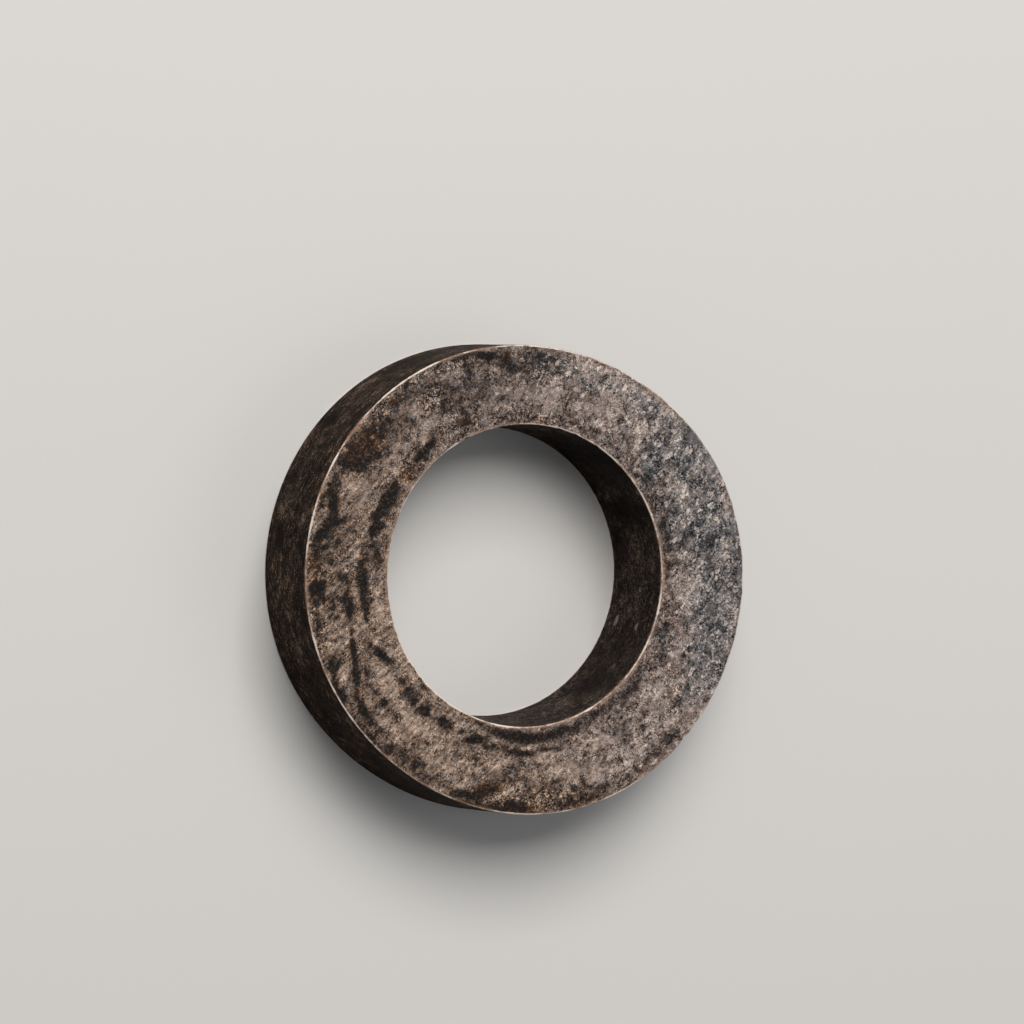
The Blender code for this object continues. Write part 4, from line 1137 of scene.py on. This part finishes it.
class StoneEffects:
    """The effects that the ring's materials use, each built once as a node group."""

    # How far a hairline's border fades, in millimetres
    HAIRLINE_BORDER = 0.02

    def __init__(self) -> None:
        """Builds the groups."""
        self.grain_group = node_group(
            "stone_grain", "ShaderNodeTree",
            {"Place": VECTOR, "Broad": FLOAT, "Middle": FLOAT, "Fine": FLOAT},
            {"Swing": FLOAT, "Fine": FLOAT}, self.fill_grain,
        )
        self.speck_group = node_group(
            "specks", "ShaderNodeTree",
            {"Place": VECTOR, "Scale": FLOAT, "Limit": FLOAT}, {"Specks": FLOAT}, self.fill_specks,
        )
        self.edge_group = node_group(
            "worn_edge", "ShaderNodeTree",
            {"Colour": COLOR, "Worn Colour": COLOR, "Dull Colour": COLOR, "Wear": FLOAT, "Place": VECTOR},
            {"Colour": COLOR}, self.fill_edge,
        )
        self.hairline_group = node_group(
            "hairline", "ShaderNodeTree",
            {"Place": VECTOR, "Start": VECTOR, "End": VECTOR, "Width": FLOAT}, {"Line": FLOAT},
            self.fill_hairline,
        )

    @staticmethod
    def fill_grain(wires: Wiring, given: Sockets) -> Sockets:
        """Fills the grain group: three sizes of mottling, each with its own amount."""
        broad = wires.noise(given["Place"], 0.15, 1.0)
        middle = wires.noise(given["Place"], 0.42, 2.0, 0.8, 0.2)
        fine = wires.noise(given["Place"], 3.5, 1.0, 0.8)
        swing = wires.total(
            wires.swing(broad, given["Broad"]), wires.swing(middle, given["Middle"]),
            wires.swing(fine, given["Fine"]),
        )
        return {"Swing": swing, "Fine": fine}

    @staticmethod
    def fill_specks(wires: Wiring, given: Sockets) -> Sockets:
        """Fills the speck group: small separate spots where a fine noise passes a limit."""
        pattern = wires.noise(given["Place"], given["Scale"], 1.0, 0.6)
        return {"Specks": wires.step(pattern, given["Limit"], wires.total(given["Limit"], 0.07))}

    @staticmethod
    def fill_edge(wires: Wiring, given: Sockets) -> Sockets:
        """Fills the worn edge group: a pale, broken line in a duller band where an edge is rubbed; the
        pale line is partly wear and partly a painted highlight.
        """
        wear = given["Wear"]
        breaks = wires.noise(given["Place"], 0.55, 5.0, 0.75)
        stretches = wires.noise(given["Place"], 0.11)
        band = wires.step(
            wires.total(wear, wires.swing(stretches, 3.0), wires.swing(breaks, 1.5)), 0.10, 0.90,
        )
        line = wires.step(
            wires.total(wear, wires.swing(stretches, -2.0), wires.swing(breaks, 1.6)), 0.60, 1.15,
        )
        dulling = wires.times(band, wires.step(wear, 0.0, 0.5), 0.55)
        dulled = wires.blend(dulling, given["Colour"], given["Dull Colour"])
        return {"Colour": wires.blend(line, dulled, given["Worn Colour"])}

    @classmethod
    def fill_hairline(cls, wires: Wiring, given: Sockets) -> Sockets:
        """Fills the hairline group: one fine line between two points."""
        run = wires.vector("SUBTRACT", given["End"], given["Start"])
        offset = wires.vector("SUBTRACT", given["Place"], given["Start"])
        share = wires.math(
            "DIVIDE", wires.vector("DOT_PRODUCT", offset, run),
            wires.vector("DOT_PRODUCT", run, run), clamp=True,
        )
        distance = wires.vector("DISTANCE", offset, wires.vector("SCALE", run, scale=share))
        return {"Line": wires.step(distance, given["Width"], cls.HAIRLINE_BORDER)}

    def place(self, wires: Wiring) -> Socket:
        """Returns the place on the ring in millimetres."""
        return wires.vector("SCALE", wires.add("ShaderNodeTexCoord").outputs["Object"], scale=1 / MM)

    def grain(
        self, wires: Wiring, place: Socket, broad: float, middle: float, fine: float,
    ) -> bpy.types.Node:
        """Places the grain group."""
        given = {"Place": place, "Broad": broad, "Middle": middle, "Fine": fine}
        return wires.add("ShaderNodeGroup", given, node_tree=self.grain_group)

    def specks(self, wires: Wiring, place: Socket, scale: float, limit: float) -> Socket:
        """Places the speck group."""
        given = {"Place": place, "Scale": scale, "Limit": limit}
        return wires.add("ShaderNodeGroup", given, node_tree=self.speck_group).outputs["Specks"]

    def worn_edge(self, wires: Wiring, colour: Socket, worn: Value, dull: Value, place: Socket) -> Socket:
        """Places the worn edge group, whose pale line is partly wear and partly a painted highlight.

        Args:
            wires: the material's wiring.
            colour: the stone's colour.
            worn, dull: its colours in the pale line, partly rubbed bright and partly a painted highlight,
                and in the band beside that.
            place: the place on the ring.

        Returns:
            The colour with the edges worn and a painted highlight along them.
        """
        wear = wires.attribute("edge_wear")
        given = {"Colour": colour, "Worn Colour": worn, "Dull Colour": dull, "Wear": wear, "Place": place}
        return wires.add("ShaderNodeGroup", given, node_tree=self.edge_group).outputs["Colour"]


@dataclass(frozen=True)
class Grains:
    """The stone's grains of one size: each grain's shade and hue, and the distance to its border."""

    shade: Socket
    hue: Socket
    border: Socket


class JadeFace:
    """The ground upper and lower faces: grainy, mottled and marked."""

    BASE_TONE, BLUE_BASE_TONE = 0.492, 0.34
    # The bearing of the stone's fibres, in degrees
    FIBRE_TURN = 43.0
    # The grains in a millimetre, for each of the three sizes
    SMALL_GRAINS, MIDDLE_GRAINS, PLATE_GRAINS = 2.9, 1.5, 1.25
    ROUGHNESS, SPECULAR = 0.52, 0.14
    BUMP_STRENGTH, BUMP_DEPTH = 0.5, 0.10 * MM
    # How far across the face its lower left begins and is full, in millimetres
    LEFT_SPAN = (14.0, -38.0)
    # The strengths of the marks at which each cover begins and is full
    STAIN_SPAN = (0.22, 0.71)
    SOFT_PATCH_SPAN = (0.06, 0.80)
    PLATE_PATCH_SPAN = (0.30, 0.48)
    COARSE_SPAN = (0.44, 0.58)
    CALM_SPAN = (0.30, 0.70)
    BLUE_SPAN = (0.10, 1.0)
    RUST_SPAN = (0.25, 0.95)

    # How far stains, pale patches, rubble, coarse grain, even spots and the blue zone cover a place,
    # and what a stain leaves of the tone under it
    stain: Socket
    light_patch: Socket
    rubbly: Socket
    coarse: Socket
    calm: Socket
    in_blue: Socket
    keep: Socket
    # The parts of the texture that more than one step reads, and the tones themselves
    small_gaps: Socket
    granular: Socket
    pebbles: Socket
    tone: Socket
    cool_tone: Socket

    def __init__(self, effects: StoneEffects, tones: StoneTones) -> None:
        """Starts the material and builds the patterns that its later steps read.

        Args:
            effects: the groups that the materials share.
            tones: the stone's colours.
        """
        self.effects = effects
        self.tones = tones
        self.material, self.wires = new_material("jade_face")
        wires = self.wires
        self.place = effects.place(wires)
        mottling = effects.grain(wires, self.place, 0.4, 0.75, 0.9)
        self.mottling = mottling.outputs["Swing"]
        self.fine = mottling.outputs["Fine"]
        ragged = wires.noise_node(self.place, 0.55, 5.0, 0.8, 0.3).outputs["Color"]
        parts = wires.add("ShaderNodeSeparateColor", {"Color": ragged}).outputs
        self.red, self.green, self.azure = (parts[name] for name in ("Red", "Green", "Blue"))
        self.small = self.grains(self.place, self.SMALL_GRAINS)
        self.middle = self.grains(self.place, self.MIDDLE_GRAINS)
        self.plates = self.grains(self.along_grain(0.6), self.PLATE_GRAINS)
        self.crystals = self.crystal_pattern()

        # The stone is browner and more fibrous towards its lower left, and lies in plates opposite
        x, y, _ = wires.split(self.place)
        across = wires.line(y, 0.5, x)
        self.left = wires.step(wires.total(across, wires.swing(self.red, 50.0)), *self.LEFT_SPAN)
        self.right = wires.less(1.0, self.left)

    def wander(self, place: Socket, scale: float, reach: float) -> Socket:
        """Returns the place shifted to and fro by a noise, so that straight things bend."""
        wires = self.wires
        bend = wires.noise_node(place, scale, 2.0, 0.5, 0.0).outputs["Color"]
        shift = wires.vector("SUBTRACT", bend, (0.5, 0.5, 0.5))
        return wires.vector("ADD", place, wires.vector("SCALE", shift, scale=reach))

    def along_grain(self, share: float) -> Socket:
        """Returns a place in which patterns are drawn out along the stone's own slanting grain."""
        turn = (0.0, 0.0, -math.radians(self.FIBRE_TURN))
        turned = self.wires.add(
            "ShaderNodeMapping", {"Vector": self.place, "Rotation": turn}, vector_type="POINT",
        )
        return self.wires.vector("MULTIPLY", turned.outputs[0], (share, 1.0, 1.0))

    def grains(self, place: Socket, scale: float) -> Grains:
        """Returns the stone's grains at one size, given as grains in a millimetre."""
        inputs = {"Vector": self.wander(place, 1.2 * scale, 1.1 / scale), "Scale": scale}
        edge = self.wires.add("ShaderNodeTexVoronoi", inputs, feature="DISTANCE_TO_EDGE")
        cell = self.wires.add("ShaderNodeTexVoronoi", inputs, feature="F1").outputs["Color"]
        random = self.wires.add("ShaderNodeSeparateColor", {"Color": cell}).outputs
        return Grains(random["Red"], random["Green"], edge.outputs["Distance"])

    def crystal_pattern(self) -> Socket:
        """Returns light flat grains of uneven brightness, parted by a dark ground."""
        wires = self.wires
        clusters = wires.noise(self.place, 0.30, 3.0, 0.7)
        lit = wires.step(wires.total(self.plates.shade, wires.swing(clusters, 1.9)), 0.42, 0.60)
        body = wires.step(self.plates.border, 0.02, 0.13)
        return wires.times(lit, body, wires.line(self.plates.hue, 0.45, 0.65))

    def area(self, mineral: Mineral, low: float, high: float, *raggedness: Socket) -> Socket:
        """Returns how far a mineral's marks cover a place, with ragged borders.

        Args:
            mineral: the marks' mineral.
            low, high: the strengths at which the cover begins and is full.
            raggedness: swings about 0 that shift the borders to and fro.

        Returns:
            The cover, 0 to 1.
        """
        wires = self.wires
        return wires.step(wires.total(wires.attribute(mineral.value), *raggedness), low, high)

    def cracks(self) -> Socket:
        """Returns the depth of all hairline cracks at a place."""
        wires = self.wires
        flat = wires.vector("MULTIPLY", self.wander(self.place, 1.0, 1.6), (1.0, 1.0, 0.0))
        depth: Value = 0.0
        for crack in FACE_CRACKS:
            given = {
                "Place": flat, "Start": (*crack.start, 0.0), "End": (*crack.end, 0.0),
                "Width": crack.width,
            }
            node = wires.add("ShaderNodeGroup", given, node_tree=self.effects.hairline_group)
            depth = wires.math("MAXIMUM", depth, wires.times(node.outputs["Line"], crack.depth))
        return depth

    def build_covers(self) -> None:
        """Builds how far stains, pale patches, rubble and even spots cover the stone."""
        wires = self.wires
        self.stain = self.area(
            Mineral.DARK, *self.STAIN_SPAN,
            wires.swing(self.red, 1.9), wires.swing(self.fine, 1.6), wires.swing(self.small.shade, 0.24),
            wires.swing(self.plates.shade, 0.20),
        )
        self.keep = wires.line(self.stain, -0.96, 1.0)
        soft_patch = self.area(Mineral.PALE, *self.SOFT_PATCH_SPAN, wires.swing(self.green, 2.2))
        plate_patch = self.area(
            Mineral.PALE, *self.PLATE_PATCH_SPAN,
            wires.swing(self.green, 1.4), wires.swing(self.plates.hue, 0.55),
        )
        self.light_patch = wires.line(
            wires.less(plate_patch, soft_patch), wires.times(self.right, 0.6), soft_patch,
        )
        self.rubbly = wires.attribute(Mineral.RUBBLE.value)
        self.coarse = wires.step(
            wires.total(
                self.azure, -0.05, wires.swing(self.light_patch, -0.05), wires.times(self.stain, 0.05),
                wires.times(self.rubbly, 0.14),
            ),
            *self.COARSE_SPAN,
        )
        self.calm = self.area(Mineral.CALM, *self.CALM_SPAN, wires.swing(self.green, 1.6))
        self.in_blue = self.area(Mineral.BLUE, *self.BLUE_SPAN, wires.swing(self.azure, 2.6))

    def texture(self) -> Socket:
        """Returns the swings of tone between the marks: grains, fibres and crystals."""
        wires = self.wires
        # Dark hairlines part the grains, mostly where the stone is coarse
        gaps = wires.times(wires.step(self.middle.border, 0.13, 0.01), -0.28)
        self.small_gaps = wires.times(wires.step(self.small.border, 0.10, 0.0), -0.10)
        pits = wires.times(self.effects.specks(wires, self.place, 1.9, 0.61), -0.22)
        broken = wires.total(
            gaps, self.small_gaps, wires.swing(self.middle.shade, 0.24),
            wires.swing(self.small.shade, 0.26), wires.swing(self.fine, 1.2),
        )
        # The even spots have about half the grain of the stone around them
        self.granular = wires.times(
            wires.total(self.mottling, pits, wires.times(broken, wires.line(self.coarse, 1.05, 0.25))),
            wires.line(self.calm, -0.45, 1.0),
        )
        fibres = wires.swing(wires.noise(self.along_grain(0.28), 1.3, 3.0, 0.75), 1.2)
        return wires.total(
            self.granular,
            wires.times(fibres, wires.line(self.left, 0.75, 0.25)),
            wires.times(wires.line(self.crystals, 0.22, -0.06), self.right),
        )

    def build_tones(self) -> None:
        """Builds the stone's two tones, from 0 for its darkest mineral to 1 for its palest grain."""
        wires = self.wires
        texture = self.texture()
        self.pebbles = wires.times(
            wires.step(self.plates.border, 0.05, 0.20),
            wires.times(wires.step(self.plates.hue, 0.80, 0.84), self.rubbly),
        )
        tone = wires.total(
            self.BASE_TONE, texture, wires.times(self.light_patch, 0.25), wires.times(self.pebbles, 0.24),
            wires.times(self.rubbly, -0.08),
        )
        flecks = wires.step(wires.total(self.small.shade, wires.swing(self.fine, 1.5)), 0.74, 0.98)
        in_stain = wires.times(self.stain, flecks, 0.20)
        self.tone = wires.line(tone, self.keep, in_stain)
        cool_tone = wires.total(
            self.BLUE_BASE_TONE, wires.times(self.crystals, 0.46), wires.times(self.granular, 1.15),
            wires.times(self.light_patch, 0.20), self.small_gaps, wires.swing(self.small.shade, 0.14),
        )
        self.cool_tone = wires.times(cool_tone, self.keep)

    def colour(self) -> Socket:
        """Returns the stone's colour without its cracks and worn edges."""
        wires, tone, tones = self.wires, self.tone, self.tones
        # Single grains lean to grey, others to gold
        greyish = wires.times(wires.step(self.middle.hue, 0.34, 0.12), 0.5)
        golden = wires.math(
            "MAXIMUM",
            wires.times(wires.step(self.small.hue, 0.74, 0.90), wires.line(self.coarse, 0.5, 0.05)),
            wires.times(self.pebbles, 0.5),
        )
        colour = wires.blend(self.left, wires.ramp(tone, tones.warm), wires.ramp(tone, tones.brown))
        colour = wires.blend(greyish, colour, wires.ramp(tone, tones.cool))
        colour = wires.blend(golden, colour, wires.ramp(wires.line(tone, 1.1, 0.06), tones.rusty))
        colour = wires.blend(self.in_blue, colour, wires.ramp(self.cool_tone, tones.cool))

        rust_amount = wires.attribute(Mineral.RUST.value)
        grit = wires.times(self.effects.specks(wires, self.place, 1.7, 0.55), rust_amount)
        in_rust = self.area(Mineral.RUST, *self.RUST_SPAN, wires.swing(self.azure, 2.4))
        rusty = wires.ramp(wires.line(grit, 0.34, tone), tones.rusty)
        colour = wires.blend(wires.times(in_rust, 0.8), colour, rusty)

        # In the blue-grey zone the even spots are also a plain lighter grey: partly smoother stone,
        # partly painted sheen
        smooth = wires.times(self.calm, self.in_blue, 0.5)
        return wires.blend(smooth, colour, tones.smooth)

    def build(self) -> bpy.types.Material:
        """Builds the face's material.

        Returns:
            The material.
        """
        wires, tones = self.wires, self.tones
        self.build_covers()
        self.build_tones()
        crack = self.cracks()
        colour = wires.blend(crack, self.colour(), tones.gap)
        bluish = wires.attribute(Mineral.BLUE.value)
        # The pale edge line is partly wear and partly a painted highlight, cooler in the blue-grey zone
        worn = wires.blend(bluish, tones.worn, tones.worn_highlight_cool)
        dull = wires.blend(bluish, tones.worn_dull, tones.dull_cool)
        height = wires.total(self.tone, wires.times(crack, -1.5))
        wires.surface({
            "Base Color": self.effects.worn_edge(wires, colour, worn, dull, self.place),
            "Specular IOR Level": self.SPECULAR,
            "Roughness": wires.total(
                self.ROUGHNESS, wires.swing(self.fine, 0.3), wires.times(self.calm, -0.12),
            ),
            "Normal": wires.bump(self.BUMP_STRENGTH, self.BUMP_DEPTH, height),
        })
        return self.material


@dataclass(frozen=True)
class JadeWall:
    """The outer wall and the bore: darker, partly from their own stone and partly from painted shade,
    with short grinding streaks along the round.
    """

    effects: StoneEffects
    tones: StoneTones
    streaks_around: float = 25.0
    streaks_up: float = 2.0
    # The bore's tones end and the outer wall's are full at these distances from the axis
    bore_end: float = 34.0
    outer_start: float = 37.0
    base_tone: float = 0.46
    roughness: float = 0.55
    specular: float = 0.01
    bump_strength: float = 0.6
    bump_depth: float = 0.12 * MM

    def streak_place(self, wires: Wiring, place: Socket, radius: Socket) -> Socket:
        """Returns a place in which patterns run long around the ring and short up it."""
        x, y, z = wires.split(place)
        cosine = wires.times(wires.math("DIVIDE", x, radius), self.streaks_around)
        sine = wires.times(wires.math("DIVIDE", y, radius), self.streaks_around)
        # A slow sway lets neighbouring streaks cross at a small angle
        sway = wires.swing(wires.noise(place, 0.12, 1.0), 6.0)
        rise = wires.times(wires.total(z, sway, wires.times(radius, 0.4)), self.streaks_up)
        return wires.add("ShaderNodeCombineXYZ", {"X": cosine, "Y": sine, "Z": rise}).outputs[0]

    def build(self) -> bpy.types.Material:
        """Builds the walls' material.

        Returns:
            The material.
        """
        material, wires = new_material("jade_wall")
        place = self.effects.place(wires)
        radius = wires.radius(*wires.split(place)[:2])
        along = self.streak_place(wires, place, radius)
        grain = self.effects.grain(wires, place, 0.5, 1.0, 1.6).outputs["Swing"]
        streak = wires.noise(along, 1.0, 3.0, 0.85)
        flecks = self.effects.specks(wires, along, 1.3, 0.68)
        tone = wires.total(
            self.base_tone, wires.swing(streak, 2.0), grain, wires.times(flecks, 0.14),
            wires.times(wires.attribute(Mineral.PALE.value), 0.9),
        )
        tone = wires.times(tone, wires.line(wires.attribute(Mineral.DARK.value), -0.6, 1.0))
        # Painted shade: both wall ramps are darker than the walls' stone alone
        colour = wires.blend(
            wires.step(radius, self.outer_start, self.bore_end),
            wires.ramp(tone, self.tones.dark_wall_with_shade), wires.ramp(tone, self.tones.bore_wall_with_shade),
        )
        # The pale edge line is partly wear and partly a painted highlight
        worn, dull = self.tones.worn, self.tones.worn_dull
        wires.surface({
            "Base Color": self.effects.worn_edge(wires, colour, worn, dull, place),
            "Specular IOR Level": self.specular,
            "Roughness": wires.total(self.roughness, wires.swing(streak, 0.3)),
            "Normal": wires.bump(self.bump_strength, self.bump_depth, streak),
        })
        return material


@dataclass
class JadeRing:
    """The finished ring: its form, its marks and its two surfaces."""

    blank: RingBlank = field(default_factory=RingBlank)
    tones: StoneTones = field(default_factory=StoneTones)
    # How deep the face's marks reach into the stone, in millimetres
    mark_depth: float = 0.9
    # Where the walls' marks set in, as distances from the axis and heights in millimetres
    outer_marks_from: float = 47.6
    bore_marks_to: float = 33.0
    outer_marks_top: float = 22.5
    bore_marks_top: float = 22.6
    # Faces that look less far up or down than this share belong to a wall
    face_slope: float = 0.6

    def build(self) -> bpy.types.Object:
        """Builds and dresses the ring, and puts it on its body.

        Returns:
            The ring's object.
        """
        effects = StoneEffects()
        ring = self.blank.build(JadeFace(effects, self.tones).build())
        self.chip(ring.data)
        self.mark(ring.data)
        self.dress(ring.data, JadeWall(effects, self.tones).build())
        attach(ring, BODY)
        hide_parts(NODE)
        return ring

    def chip(self, mesh: bpy.types.Mesh) -> None:
        """Takes the chips out of the upper edges."""
        points = read_points(mesh) / MM
        moves = sum(chip.bite(points, self.blank.height / MM) for chip in EDGE_CHIPS)
        mesh.vertices.foreach_set("co", ((points + moves) * MM).astype(np.float32).ravel())
        mesh.update()

    def mark(self, mesh: bpy.types.Mesh) -> None:
        """Stores the strength of each mineral at each point of the mesh."""
        points = read_points(mesh) / MM
        x, y, z = points.T
        radius = np.hypot(x, y)
        bearing = np.degrees(np.arctan2(y, x))
        depth = np.clip((self.blank.height / MM - z) / self.mark_depth, 0.0, 1.0)
        wall = {
            Wall.OUTER: np.clip(radius - self.outer_marks_from, 0.0, 1.0) * (z < self.outer_marks_top),
            Wall.BORE: np.clip(self.bore_marks_to - radius, 0.0, 1.0) * (z < self.bore_marks_top),
        }
        clear = {mineral: np.ones(len(points)) for mineral in Mineral}
        for mark in FACE_MARKS:
            clear[mark.mineral] *= 1.0 - mark.amount(x, y) * (1.0 - depth)
        for mark in WALL_MARKS:
            clear[mark.mineral] *= 1.0 - mark.amount(bearing, radius, z) * wall[mark.wall]
        for mineral in Mineral:
            write_attribute(mesh, mineral.value, 1.0 - clear[mineral])

    def dress(self, mesh: bpy.types.Mesh, wall_material: bpy.types.Material) -> None:
        """Gives the walls their own material; the faces and edges keep the face's."""
        mesh.materials.append(wall_material)
        wall_slot = len(mesh.materials) - 1
        for polygon in mesh.polygons:
            if abs(polygon.normal.z) < self.face_slope:
                polygon.material_index = wall_slot


@dataclass(frozen=True)
class SoftBox:
    """One soft studio light, aimed at the ring."""

    name: str
    place: tuple[float, float, float]
    width: float
    watts: float
    colour: tuple[float, float, float] = (1.0, 1.0, 1.0)

    def build(self) -> bpy.types.Object:
        """Builds the light."""
        light = bpy.data.lights.new(self.name, "AREA")
        light.shape = "SQUARE"
        light.size = self.width
        light.energy = self.watts
        light.color = self.colour
        lamp = new_object(self.name, light)
        lamp.location = self.place
        lamp.rotation_euler = (-Vector(self.place)).to_track_quat("-Z", "Y").to_euler()
        return lamp


@dataclass(frozen=True)
class Viewpoint:
    """Where the photograph looks from: angles about the ring's middle, and its framing."""

    lean_left: float = 22.414
    lean_far: float = 2.371
    roll: float = -2.0
    distance: float = 1.2
    pixels_per_metre: float = 4775.0
    image_width: float = 1024.0
    middle_pixel: tuple[float, float] = (506.9, 578.8)
    sensor: float = 36.0

    def build(self, target: Vector) -> bpy.types.Object:
        """Builds the camera.

        Args:
            target: the ring's middle.

        Returns:
            The camera.
        """
        left, far, roll = (math.radians(angle) for angle in (self.lean_left, self.lean_far, self.roll))
        outward = Vector((-math.sin(left) * math.cos(far), math.sin(far), math.cos(left) * math.cos(far)))
        up = (Vector((0.0, 1.0, 0.0)) - outward * outward.y).normalized()
        right = up.cross(outward)
        turned_right = right * math.cos(roll) + up * math.sin(roll)
        turned_up = up * math.cos(roll) - right * math.sin(roll)

        place = target + outward * self.distance
        half = self.image_width / 2
        aim = (target
               - turned_right * ((self.middle_pixel[0] - half) / self.pixels_per_metre)
               + turned_up * ((self.middle_pixel[1] - half) / self.pixels_per_metre))
        backward = (place - aim).normalized()
        level_right = turned_up.cross(backward).normalized()
        level_up = backward.cross(level_right)

        camera_data = bpy.data.cameras.new("photo_camera")
        camera_data.sensor_width = self.sensor
        camera_data.lens = self.pixels_per_metre * self.distance * self.sensor / self.image_width
        camera = new_object("photo_camera", camera_data)
        axes = Matrix((level_right, level_up, backward)).transposed()
        camera.matrix_world = Matrix.Translation(place) @ axes.to_4x4()
        bpy.context.scene.camera = camera
        return camera


@dataclass
class Studio:
    """The plain pale floor, the soft lights and the camera."""

    floor_half: float = 3.0
    # The floor lies this little below the ring, so that the two never share a plane
    floor_gap: float = 0.02 * MM
    floor_colour: Colour = srgb(214, 212, 209)
    floor_roughness: float = 0.85
    floor_specular: float = 0.2
    ambient: Colour = srgb(232, 234, 238)
    ambient_strength: float = 0.18
    lights: tuple[SoftBox, ...] = (
        SoftBox("key_light", (-0.05, 0.85, 1.30), 1.0, 24.5, (1.0, 0.98, 0.95)),
        SoftBox("fill_light", (0.9, -0.3, 1.2), 0.9, 2.5, (0.95, 0.97, 1.0)),
    )
    view: Viewpoint = field(default_factory=Viewpoint)

    def floor_material(self) -> bpy.types.Material:
        """Returns the floor's pale matte paper."""
        material, wires = new_material("pale_floor")
        wires.surface({
            "Base Color": self.floor_colour,
            "Roughness": self.floor_roughness,
            "Specular IOR Level": self.floor_specular,
        })
        return material

    def floor(self, level: float) -> bpy.types.Object:
        """Builds the floor at a height, outside the object."""
        mesh = bpy.data.meshes.new("pale_floor")
        half = self.floor_half
        corners = [(-half, -half, level), (half, -half, level), (half, half, level), (-half, half, level)]
        mesh.from_pydata(corners, [], [(0, 1, 2, 3)])
        mesh.materials.append(self.floor_material())
        floor = new_object("pale_floor", mesh)
        return floor

    def build(self) -> None:
        """Builds the floor, the world, the lights and the camera."""
        low, high = (Vector(corner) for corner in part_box(NODE))
        self.floor(low.z - self.floor_gap)
        world = bpy.data.worlds.new("soft_room")
        world.use_nodes = True
        background = world.node_tree.nodes["Background"]
        background.inputs["Color"].default_value = self.ambient
        background.inputs["Strength"].default_value = self.ambient_strength
        bpy.context.scene.world = world
        for light in self.lights:
            light.build()
        self.view.build((low + high) / 2)
        bpy.context.scene.view_settings.view_transform = "Standard"


def main() -> None:
    """Builds the ring and its studio, and reports the ring."""
    logging.basicConfig(level=logging.INFO, format="%(name)s: %(message)s")
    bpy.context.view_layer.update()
    Studio().build()
    ring = JadeRing().build()
    LOG.info("%s: %d faces on %s", ring.name, len(ring.data.polygons), BODY)


if __name__ == "__main__":
    main()
